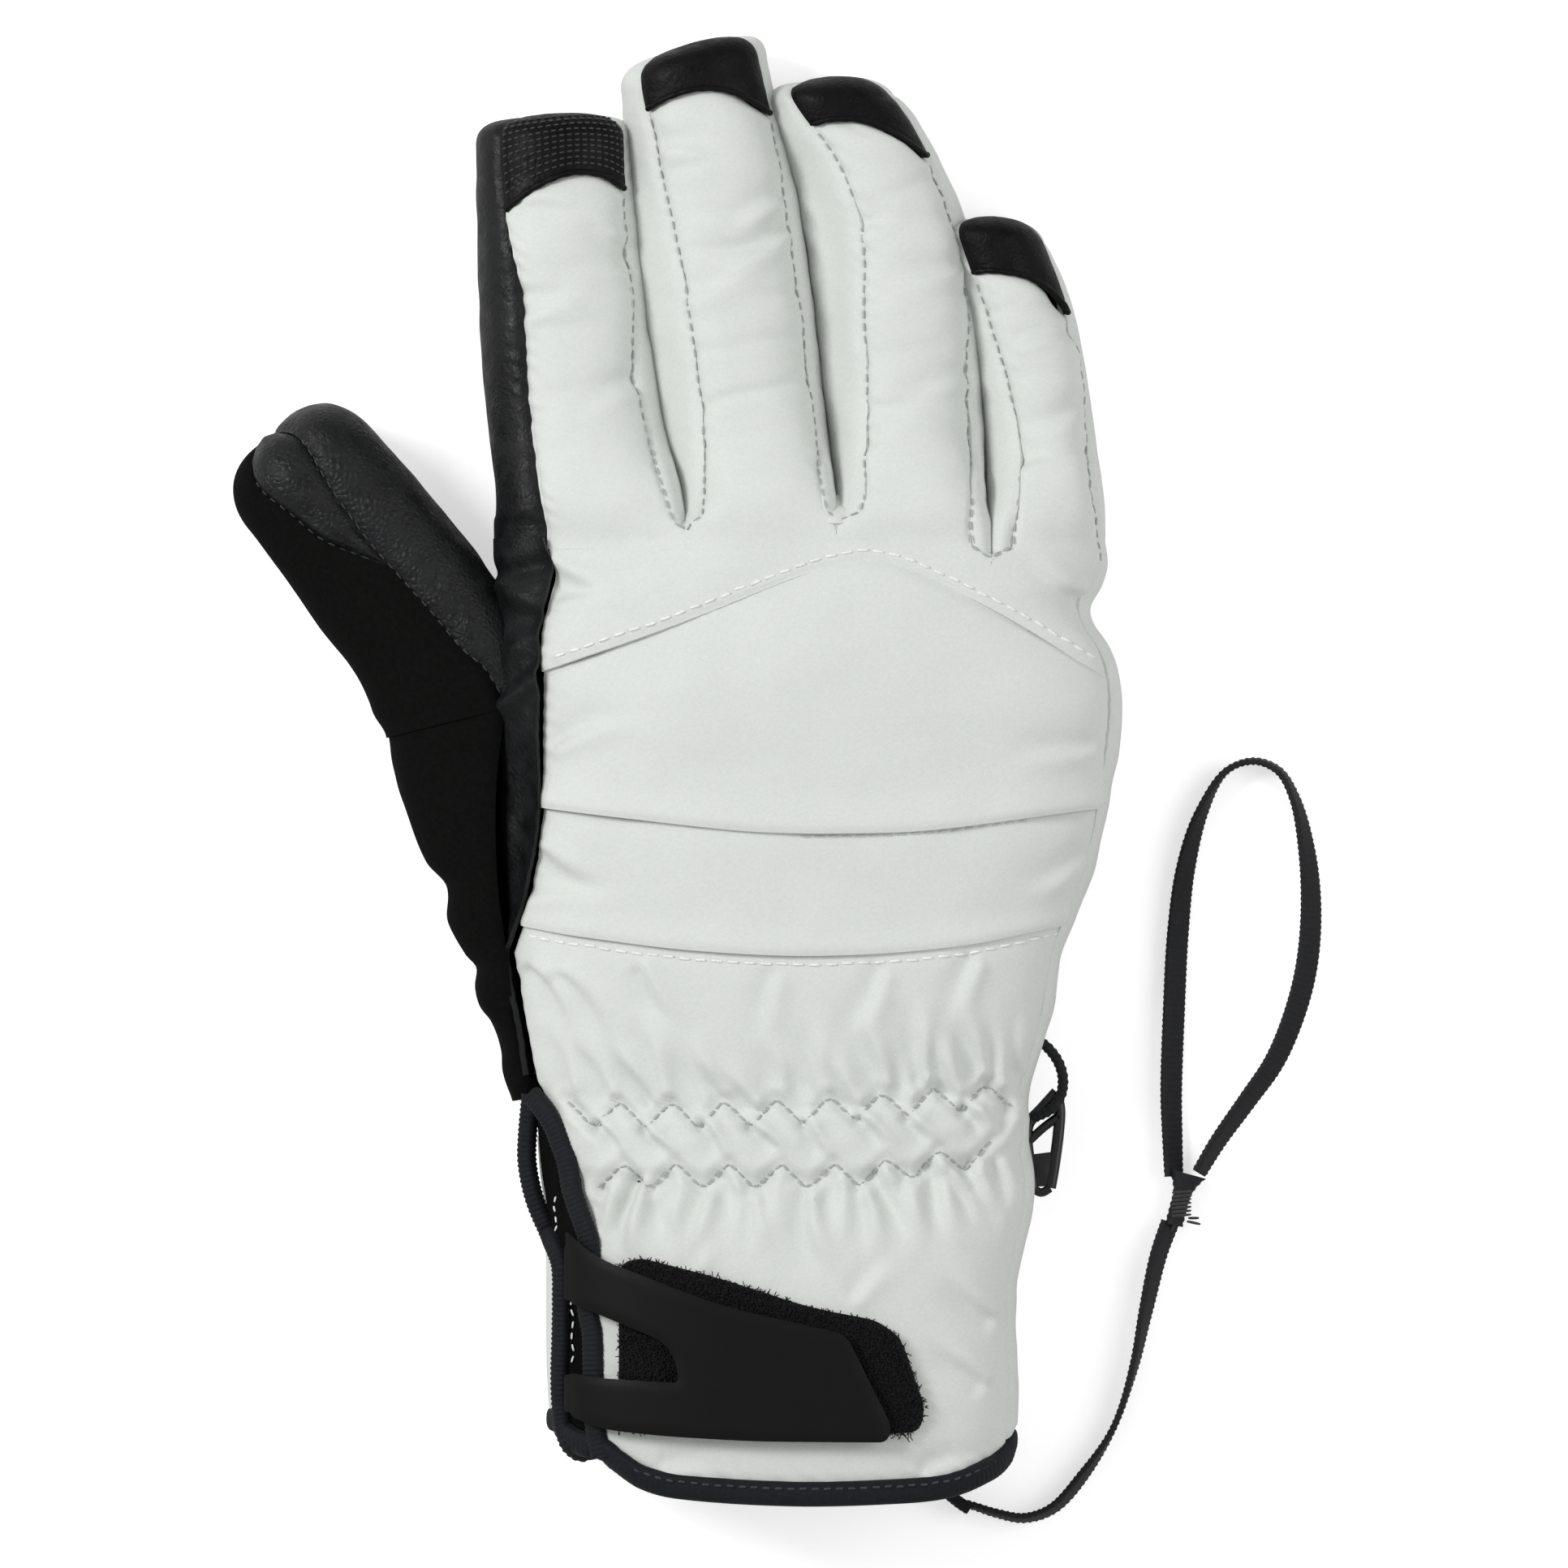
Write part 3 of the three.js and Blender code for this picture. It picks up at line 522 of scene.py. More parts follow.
# ---- Mesh building ---------------------------------------------------------------------------------
FABRIC = 1.1  # how thick a layer is, unless its call says otherwise


def add_object(name, points, faces, look, body, smooth=40.0):
    """A mesh object in metres, riding on a body, in the look's material."""
    mesh = bpy.data.meshes.new(name)
    mesh.from_pydata((np.asarray(points) * MM).tolist(), [], faces)
    mesh.validate()
    mesh.polygons.foreach_set("use_smooth", [True] * len(mesh.polygons))
    if smooth:
        mesh.set_sharp_from_angle(angle=math.radians(smooth))
    mesh.materials.append(LOOKS[look])
    mesh.update()
    obj = bpy.data.objects.new(name, mesh)
    bpy.context.scene.collection.objects.link(obj)
    if body:
        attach(obj, body)
    return obj


def grid_normals(p):
    du = np.gradient(p, axis=0)
    dv = np.gradient(p, axis=1)
    n = np.cross(du, dv)
    return n / np.maximum(np.linalg.norm(n, axis=-1, keepdims=True), 1e-9)


def grid_distances(p):
    """How far each grid point lies from the low and high end of both directions."""
    along = np.linalg.norm(np.diff(p, axis=0), axis=-1)
    across = np.linalg.norm(np.diff(p, axis=1), axis=-1)
    start = np.concatenate([np.zeros((1, p.shape[1])), np.cumsum(along, 0)])
    left = np.concatenate([np.zeros((p.shape[0], 1)), np.cumsum(across, 1)], 1)
    return start, start[-1:] - start, left, left[:, -1:] - left


def grid_faces(rows, columns, first=0, flip=False):
    i, j = np.meshgrid(np.arange(rows - 1), np.arange(columns - 1), indexing="ij")
    a = first + i * columns + j
    quads = np.stack([a, a + columns, a + columns + 1, a + 1], -1).reshape(-1, 4)
    return quads[:, ::-1] if flip else quads


def thick_sheet(outer, inner):
    """A closed sheet between two grids of the same size."""
    rows, columns = outer.shape[:2]
    count = rows * columns
    faces = [grid_faces(rows, columns), grid_faces(rows, columns, count, flip=True)]
    rim = np.concatenate([
        np.arange(rows - 1) * columns,
        (rows - 1) * columns + np.arange(columns - 1),
        np.arange(rows - 1, 0, -1) * columns + columns - 1,
        np.arange(columns - 1, 0, -1),
    ])
    after = np.roll(rim, -1)
    faces.append(np.stack([after, rim, rim + count, after + count], -1))
    return np.concatenate([outer.reshape(-1, 3), inner.reshape(-1, 3)]), np.concatenate(faces).tolist()


EDGES = ("start", "end", "left", "right")
SIDES = ("left", "right")


class Panel:
    """One sewn panel: a grid of points that is puffed between its seams and drawn in at them."""

    def __init__(self, points, puff=0.6, reach=5.0, roll=0.9, roll_reach=1.1, seams=EDGES, pucker=0.12,
                 pitch=3.1):
        self.base = points
        self.normal = grid_normals(points)
        if np.sum(self.normal[..., 2]) < 0 and np.mean(points[..., 2]) > 14:
            self.normal = -self.normal
        self.distance = dict(zip(EDGES, grid_distances(points)))
        near = np.minimum.reduce([self.distance[e] for e in seams]) if seams else np.full(points.shape[:2],
                99.0)
        lift = puff * (1 - np.exp(-((near / reach) ** 2)))
        lift -= roll * np.exp(-((near / roll_reach) ** 2))
        phase = (points[..., 0] * 0.6 + points[..., 1]) * 2 * np.pi / pitch
        uneven = 0.6 + 0.8 * noise(points, 9.0, 2.3)
        lift += pucker * np.sin(phase + 2.2 * noise(points, 6.0, 5.1)) * uneven * np.exp(-((near / 3.2) ** 2))
        self.lift = lift

    def crease(self, size, depth, shift=0.0):
        """Adds noise of the given feature size."""
        self.lift = self.lift + depth * noise(self.base, size, shift)
        return self

    def grids(self, thickness):
        outer = self.base + self.normal * self.lift[..., None]
        normal = grid_normals(outer)
        if np.sum(normal * self.normal) < 0:
            normal = -normal
        outer[..., 2] = np.maximum(outer[..., 2], 0.0)
        inner = outer - self.normal * thickness
        inner[..., 2] = np.maximum(inner[..., 2], 0.25)
        self.outer = outer
        self.outer_normal = normal
        return outer, inner

    def make(self, name, look, body, replaces=(), thickness=FABRIC):
        outer, inner = self.grids(thickness)
        points, faces = thick_sheet(outer, inner)
        if np.sum(np.cross(outer[1, 0] - outer[0, 0], outer[0, 1] - outer[0, 0]) * self.outer_normal[0,
                0]) < 0:
            faces = [face[::-1] for face in faces]
        obj = add_object(name, points, faces, look, body, smooth=50.0)
        if replaces:
            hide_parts(*replaces)
        self.object = obj


def plain_panel(points):
    """A layer with no seams of its own."""
    return Panel(points, puff=0, roll=0, seams=(), pucker=0)


def along_grid(low, high, count):
    """Rows of stations from one line of stations to another."""
    t = np.linspace(0, 1, count)[:, None]
    return low[None, :] + (high - low)[None, :] * t


def capsules(starts, ends, radius, sides=6):
    """Small rounded rods, one for each start and end, as one list of points and faces."""
    rings = [(-0.5, 0.0), (-0.44, 0.75), (-0.2, 1.0), (0.2, 1.0), (0.44, 0.75), (0.5, 0.0)]
    points, faces = [], []
    for a, b in zip(starts, ends):
        axis = b - a
        size = np.linalg.norm(axis)
        if size < 1e-6:
            continue
        axis = axis / size
        up = np.array([0.0, 0.0, 1.0]) if abs(axis[2]) < 0.9 else np.array([1.0, 0.0, 0.0])
        side = np.cross(axis, up)
        side /= np.linalg.norm(side)
        up = np.cross(side, axis)
        middle = (a + b) / 2
        first = len(points)
        points.append(middle + axis * rings[0][0] * size)
        for at, share in rings[1:-1]:
            for k in range(sides):
                turn = 2 * math.pi * k / sides
                ring = side * math.cos(turn) + up * math.sin(turn)
                points.append(middle + axis * at * size + ring * radius * share)
        points.append(middle + axis * rings[-1][0] * size)
        last = len(points) - 1
        for k in range(sides):
            n = (k + 1) % sides
            faces.append((first, first + 1 + n, first + 1 + k))
            faces.append((last, last - sides + k, last - sides + n))
            for r in range(len(rings) - 3):
                row = first + 1 + r * sides
                faces.append((row + k, row + n, row + sides + n, row + sides + k))
    return points, faces


def stitch_line(name, line, pitch, share, radius, look, body, wobble=0.12):
    """A row of stitches along a line of points that already lies on the surface."""
    even = resample(np.asarray(line), step=pitch)
    ahead = np.diff(even, axis=0)
    middles = (even[:-1] + even[1:]) / 2
    shake = RNG.uniform(-wobble, wobble, (len(middles), 3)) * [1, 1, 0.3]
    half = ahead * share / 2
    twist = RNG.uniform(-0.08, 0.08, len(half))
    turned = half + np.stack([-half[:, 1] * twist, half[:, 0] * twist, 0 * twist], -1)
    points, faces = capsules(middles + shake - turned, middles + shake + turned, radius)
    return add_object(name, points, faces, look, body, smooth=0)


def tube_points(line, radius_x, radius_y, sides, up_hint=(0, 0, 1), lean=0.0, profile_power=2.0):
    """Rings of an oval or flat section along a line: a grid of rows by sides."""
    line = np.asarray(line, float)
    forward = np.gradient(line, axis=0)
    forward /= np.linalg.norm(forward, axis=1, keepdims=True)
    side = np.cross(forward, np.asarray(up_hint, float))
    side /= np.maximum(np.linalg.norm(side, axis=1, keepdims=True), 1e-9)
    up = np.cross(side, forward)
    lean = np.radians(lean) * np.ones(len(line))
    side, up = (
        side * np.cos(lean)[:, None] + up * np.sin(lean)[:, None],
        up * np.cos(lean)[:, None] - side * np.sin(lean)[:, None],
    )
    turn = 2 * np.pi * np.arange(sides) / sides
    c, s = bulged(np.cos(turn), 2 / profile_power), bulged(np.sin(turn), 2 / profile_power)
    rx = np.ones(len(line)) * radius_x
    ry = np.ones(len(line)) * radius_y
    return (
        line[:, None, :]
        + side[:, None, :] * (rx[:, None] * c[None, :])[..., None]
        + up[:, None, :] * (ry[:, None] * s[None, :])[..., None]
    )


def tube_faces(rows, sides):
    faces = []
    for i in range(rows - 1):
        for j in range(sides):
            n = (j + 1) % sides
            faces.append((i * sides + j, (i + 1) * sides + j, (i + 1) * sides + n, i * sides + n))
    faces.append(tuple(range(sides)))
    faces.append(tuple((rows - 1) * sides + j for j in reversed(range(sides))))
    return faces


def tube(name, line, radius_x, radius_y, sides, look, body, smooth=60.0, **options):
    rings = tube_points(line, radius_x, radius_y, sides, **options)
    faces = tube_faces(len(rings), sides)
    first = rings[0].mean(0) - rings[1].mean(0)
    if np.dot(np.cross(rings[0][1] - rings[0][0], rings[0][2] - rings[0][1]), first) < 0:
        faces = [face[::-1] for face in faces]
    return add_object(name, rings.reshape(-1, 3), faces, look, body, smooth)


# ---- Leash -----------------------------------------------------------------------------------------
TAPE_WIDTH = 5.0
TAPE_THICK = 1.3
LEASH_Z = TAPE_WIDTH / 2 + 0.35
TETHER_ROUTE = [
    (26.5, -140.4), (30, -141.5), (34.1, -142.8), (39.5, -143.7), (45, -141.8), (51.2, -134.9),
    (56.6, -126.3),
    (60.5, -114.7), (62.8, -103.9), (65.3, -93), (67.5, -86.8),
]
LOOP_ROUTE = [
    (68.2, -78), (67.9, -70), (67.7, -62), (68.2, -46.5), (69, -31), (70.5, -18.6), (73.6, -7.8), (78.3, 0),
    (83.7, 1.9), (88.4, 0), (91.5, -5.4), (93.8, -15.5), (94.6, -26.4), (93.8, -37.2), (91.5, -46.5),
    (87.6, -55.8), (82.2, -63.6), (76.7, -71.3), (73, -77.4),
]
TETHER_LEAN = [6, 14, 20, 2, 14, 30, 40]  # degrees, at even steps along the route
LOOP_LEAN = [40, 50, 52, 50, 36, 4, -14, -40, -52, -50, -40, -28]


def ribbed_tape(name, route, lean):
    """A flat woven tape on its route, leaning over by the given degrees, with a rib for each weft thread."""
    line = resample(catmull([(x, y, LEASH_Z) for x, y in route]), step=0.4)
    along = np.arange(len(line))
    tilt = profile(list(zip(np.linspace(0, len(line) - 1, len(lean)), lean)))(along)
    slope = np.radians(np.abs(tilt))
    line[:, 2] = TAPE_WIDTH / 2 * np.cos(slope) + TAPE_THICK / 2 * np.sin(slope) + 0.3
    rib = 1 + 0.2 * np.cos(along * np.pi * 0.72)
    edge = TAPE_WIDTH / 2 * (1 + 0.025 * np.cos(along * np.pi * 0.72))
    tape = tube(name, line, TAPE_THICK / 2 * rib, edge, 20, "tape", "cuff", smooth=70, lean=tilt,
                profile_power=4.0)
    return tape, line


def make_leash():
    tether, tether_line = ribbed_tape("leash_tether_tape", TETHER_ROUTE, TETHER_LEAN)
    loop, loop_line = ribbed_tape("leash_loop_tape", LOOP_ROUTE, LOOP_LEAN)
    rows = []
    for t in np.linspace(-1, 1, 31):
        ease = 0.5 - 0.5 * t
        wide = 1.7 + 0.12 * math.cos(t * 26) + 2.0 * max(t, 0) ** 2
        rows.append(((69.5 + 1.3 * t, -82.4 + 4.9 * t, LEASH_Z), wide, 2.4 - 0.3 * ease))
    line = np.array([row[0] for row in rows])
    knot = tube("leash_sewn_end", line, np.array([r[1] for r in rows]), np.array([r[2] for r in rows]), 20,
                "tape",
                "cuff", smooth=70, profile_power=3.0)
    x, y, z = tether_line[0]
    tab_line = resample(catmull([(x - 4.2, y + 3.2, z), (x - 2, y + 1.6, z), (x + 0.8, y - 0.6, z),
                                 (x + 2.4, y - 1.6, z)], 8), step=0.3)
    tab = tube("leash_sewn_tab", tab_line, 1.15 + 0.06 * np.cos(np.arange(len(tab_line)) * 2.0), 3.0, 20,
               "binding", "cuff",
               smooth=70, profile_power=3.0)
    starts, ends = [], []
    for k in range(7):
        y = -85.6 + 0.75 * k
        starts.append((67.7, y, LEASH_Z + 2.2))
        ends.append((71.6, y + 0.35, LEASH_Z + 2.2))
    for tail in ((70.6, -86.6, 73.4, -87.2), (70.9, -86.0, 73.1, -86.0), (68.6, -86.8, 67.6, -88.4)):
        starts.append((tail[0], tail[1], LEASH_Z + 0.6))
        ends.append((tail[2], tail[3], LEASH_Z))
    points, faces = capsules(np.array(starts), np.array(ends), 0.27)
    threads = add_object("leash_bartack_threads", points, faces, "black_thread", "cuff", smooth=0)
    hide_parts("leash_tether")
    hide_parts("leash_loop")
    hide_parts("leash_bartack")


make_leash()

# ---- Fingers ---------------------------------------------------------------------------------------
LEAD = 6.35  # how far the finger surfaces reach back over the hand
FINGER_ROUNDNESS = 2.25
ROOT_BOX = 1.8  # how much squarer a finger is at its root
ROOT_BLEND = 17.0  # the stretch over which a finger's surface leaves the hand's
SEAM_GAP = 0.35  # between a finger's back and the hand
CROTCHES = [(-25.6, 46.3), (3.2, 48.1), (32.8, 40.9)]
FINGERS = {
    "index": dict(
        rows=[
            (-44, 38, 17.3, 33), (-44, 44.35, 17.3, 33), (-44, 50, 17.0, 30.5), (-45.5, 58, 16.6, 28),
            (-47.3, 69.8, 16.2, 26), (-49.1, 85.3, 15.6, 25.5), (-50.1, 100.8, 15.1, 25),
            (-50.6, 112, 14.8, 24.5),
            (-50.9, 125.4, 14.6, 24),
        ],
        tip=dict(tip_round=5.5, tip_power=3.4, tip_skew=0.2),
        spread=[(0, 0), (1.4, 0.55)],
        walls=["leather_side", "inner_side"],
        left=[(-6, -8), (0, -8.3), (5, -8.9), (15, -8.8), (30, -8.4), (40, -7.8), (50, -8), (62, -9.6),
              (82, -10.6)],
        right=[(1, 18.4), (2.3, 18.2), (3.2, 16.2), (6.2, 15), (13, 14.2), (22, 13.4), (31, 13.1), (44, 13.9),
               (62, 13.4), (82, 13.2)],
        cap=[(-10.6, 63.2), (-9.6, 63.6), (-4, 67.6), (3, 70.2), (9, 69.6), (13.2, 67)],
        crotches=(None, 0),
        sink=(0.0, 2.5),
    ),
    "middle": dict(
        rows=[
            (-11.5, 38, 13.6, 33), (-11.5, 44.35, 13.6, 33), (-11.5, 50, 13.8, 31), (-13, 58, 14.3, 28.5),
            (-15, 69.8, 14.9, 26.5), (-17.1, 85.3, 15.3, 26), (-19.3, 100.8, 15.4, 25.5),
            (-21.3, 116.3, 15.0, 25),
            (-25.0, 138.7, 13.6, 24.5),
        ],
        tip=dict(tip_round=6, tip_power=3.3, tip_skew=1.4),
        spread=[(0.7, 0.55), (1.2, 0.55)],
        walls=["thumb_side", "little_side"],
        left=[(1, -14.2), (2.3, -14), (3.2, -11.6), (7.5, -10.8), (13.6, -9.7), (24.5, -8.0), (33, -7.8),
              (44, -7.6), (60, -8.2), (74, -9.6), (97, -10.4)],
        right=[(2.5, 14.8), (3.9, 14.6), (4.8, 13.2), (7.5, 12.8), (13.4, 13), (24.5, 13.9), (34, 14.2),
               (44, 14.1), (58, 14.2), (74, 13.7), (97, 12.2)],
        cap=[(-10.5, 85), (-9.0, 85.4), (-5, 86.6), (1, 86.7), (7, 84.6), (12.8, 80.2)],
        crotches=(0, 1),
        sink=(3.5, 2.0),
    ),
    "ring": dict(
        rows=[
            (17.4, 38, 13.4, 33), (17.4, 44.35, 13.4, 33), (17.4, 52, 13.5, 30.5), (17, 58, 13.8, 28.5),
            (16.3, 69.8, 14.3, 26.5), (15.1, 85.3, 14.7, 26), (13.1, 100.8, 14.6, 25.5),
            (9.9, 111.6, 13.8, 25),
            (6.7, 119.4, 12.8, 24.5), (2.8, 126.5, 11.4, 24.2), (0.2, 132.4, 9.6, 24),
        ],
        tip=dict(tip_round=6, tip_power=3.0, tip_skew=-3.4),
        spread=[(0.9, 0.55), (2.1, 0.55)],
        walls=["thumb_side", "little_side"],
        left=[(2.5, -14.2), (3.9, -14), (4.8, -10.2), (7.5, -9.3), (15, -8.6), (28, -7.4), (44, -6.6),
              (60, -4.6), (72, -4.2), (81, -5.0), (92, -7.8)],
        right=[(-5, 15.4), (-3.2, 15.3), (-2.2, 12.2), (0, 11.6), (3.5, 11.6), (10, 12.4), (18, 13),
               (31, 12.9), (44, 13.9), (60, 13.2), (76, 11.8), (84, 11), (92, 10)],
        cap=[(-7.0, 83.6), (-4.6, 83), (-1, 82.6), (3.5, 80.3), (8, 74.8), (11.4, 70)],
        crotches=(1, 2),
        sink=(5.5, 2.5),
    ),
    "little": dict(
        rows=[
            (43.6, 38, 10.8, 32), (43.6, 44.35, 10.7, 32), (43.6, 50, 10.5, 28.5), (43.1, 56, 10.3, 26),
            (42.4, 64, 10.0, 24), (41, 76, 9.8, 23.5), (38.4, 88, 9.6, 23), (35, 97.5, 9.0, 22.8),
            (31.6, 105.8, 7.8, 22.5),
        ],
        tip=dict(tip_round=5.5, tip_power=3.0, tip_skew=-3.8),
        spread=[(0.2, 0.55), (0.4, 0)],
        walls=["inner_side", "outer_side"],
        left=[(-5, -10.8), (-3.2, -10.7), (-2.2, -7.2), (0, -6.6), (9, -5.6), (18, -4.7), (31, -5.6),
              (43, -6.4), (54, -6.2), (64, -5.6)],
        right=[(-6, 10.1), (0, 9.9), (9, 9.4), (29, 9.1), (44, 8.8), (54, 8.6), (64, 8.2)],
        cap=[(-6.6, 53.2), (-2, 52.6), (3, 50), (6, 46.4), (8.8, 41.4)],
        crotches=(2, None),
        sink=(3.5, 0.0),
    ),
}
root_line = profile([(-56, 42.4), (-12, 42.6), (4, 43.9), (12, 43.8), (22, 42), (31, 39.4), (58, 39.2)])


def groove(x, y, start, end, depth, width):
    """A pull in the fabric: a crisp valley with a soft ridge on its right, deepest at the start."""
    (ax, ay), (bx, by) = start, end
    length = math.hypot(bx - ax, by - ay)
    fx, fy = (bx - ax) / length, (by - ay) / length
    along = (x - ax) * fx + (y - ay) * fy
    side = (x - ax) * fy - (y - ay) * fx + 0.9 * np.sin(along / 4.3 + ax)
    side = side * (1 if fy > 0 else -1)
    wide = width * (1 + 0.05 * np.clip(along, 0, 40))
    ridge = 0.75 * np.exp(-(((side - 1.35 * wide) / (1.25 * wide)) ** 2))
    valley = np.exp(-((side / np.where(side > 0, 0.8 * wide, 1.7 * wide)) ** 2))
    fade = smoothstep((along + 1.5) / 2.2) * (1 - smoothstep((along - 0.35 * length) / (0.75 * length)))
    return depth * (ridge - valley) * fade


PULLS = [  # soft pulls over the fingers and the hand: where each starts and runs out, and how deep it is
    ((-7.7, 109.5), (-19, 106), 0.5), ((-6.4, 104), (-23, 97), 0.55), ((-30, 119), (-20, 121), 0.4),
    ((-27, 92), (-12, 96), 0.35),
    ((-36.5, 101), (-47, 104), 0.45), ((-57.5, 88), (-44, 92), 0.4), ((-34, 74), (-47, 70), 0.4),
    ((-56.5, 108), (-45, 105), 0.35),
    ((4, 104), (16, 108), 0.4), ((26, 98), (12, 94), 0.45), ((29, 76), (14, 72), 0.35),
    ((5, 62), (18, 66), 0.3),
    ((38, 82), (48, 86), 0.4), ((50, 70), (38, 66), 0.4), ((36, 60), (48, 63), 0.3),
    ((-52, 40), (-38, 28), 0.5),
    ((-50, 33), (-33, 36), 0.4), ((51, 33), (36, 40), 0.5), ((-51, 6), (-33, 12), 0.4),
    ((52, 6), (34, 2), 0.4),
    ((50, -16), (36, -22), 0.4), ((-54, -16), (-40, -24), 0.5), ((-56, -24), (-38, -20), 0.4),
    ((-56, -38), (-46, -52), 0.8),
    ((-50, -39), (-38, -54), 0.5), ((-35, -38), (-27, -50), 0.5), ((12, -38), (4, -50), 0.5),
    ((30, -36), (22, -47), 0.5),
    ((-8, -39), (-14, -52), 0.4), ((-26, -95), (-20, -88), 0.4), ((6, -100), (14, -92), 0.4),
    ((30, -118), (20, -108), 0.5),
    ((33, -104), (22, -98), 0.5), ((-30, -133), (-20, -131), 0.4), ((20, -134), (30, -129), 0.4),
]
PULL_DEPTH = 2.0
PULL_WIDTH = 1.35


def pulls(points):
    x, y = points[..., 0], points[..., 1]
    return sum(groove(x, y, start, end, PULL_DEPTH * depth, PULL_WIDTH) for start, end, depth in PULLS)


def fabric_wave(points):
    """Broad soft unevenness that the hand and the fingers share, so that it crosses their joins."""
    return 0.75 * noise(points, (17, 11, 11), 2.0) + 0.25 * noise(points, (7, 5, 6), 6.0) + pulls(points)


def root_onto_hand(points, u, hold=1.0):
    """Lifts the first rows of a finger onto the hand's own surface, so that the two run together."""
    x, y = points[..., 0], points[..., 1]
    rise = hand_surface(y, hand_angle(x, y))[..., 2] - points[..., 2]
    out = points.copy()
    out[..., 2] = points[..., 2] + rise * (1 - smoothstep(u / ROOT_BLEND)) * hold
    return out


def even_angles(digit, u, low, high, count):
    """Angles from low to high, one row for each station, that lie at even distances round the section."""
    t = np.linspace(0, 1, 160)[None, :]
    angles = low[:, None] + (high - low)[:, None] * t
    ring = digit.surface(np.repeat(u[:, None], 160, 1), angles)
    along = np.concatenate([np.zeros((len(u), 1)),
                            np.cumsum(np.linalg.norm(np.diff(ring, axis=1), axis=-1), 1)], 1)
    want = np.linspace(0, 1, count)
    return np.array([np.interp(want * a[-1], a, row) for a, row in zip(along, angles)])


CROSS_FOLDS = [  # how far along the finger, how deep and how wide
    (0.2, 0.35, 1.6), (0.28, 0.6, 1.2), (0.37, 0.4, 1.5), (0.5, 0.4, 1.3), (0.58, 0.7, 1.2), (0.66, 0.5, 1.6),
    (0.74, 0.4, 1.2),
]


def cross_folds(panel, u, length, seed):
    """Soft folds across the finger where it bends, over a faint unevenness that grows in away from the root.
    """
    panel.lift = panel.lift + 0.2 * noise(panel.base, (7, 4, 7), seed) * smoothstep(u / 12)
    for share, depth, width in CROSS_FOLDS:
        at = share * length + 3.0 * noise(panel.base, (18, 60, 18), seed + share * 10)
        strength = smoothstep(0.5 + 1.4 * noise(panel.base, (12, 14, 12), seed * 2 + share * 7))
        panel.lift = panel.lift - depth * strength * np.exp(-(((u - at) / width) ** 2))


def spread_rows(extra, press):
    """Extra reach of one side: at the root, where neighbours join, and beyond, where they press together."""
    return [(-LEAD, extra), (2.0, extra), (8.0, press), (60.0, press), (74.0, 0.0), (100.0, 0.0)]


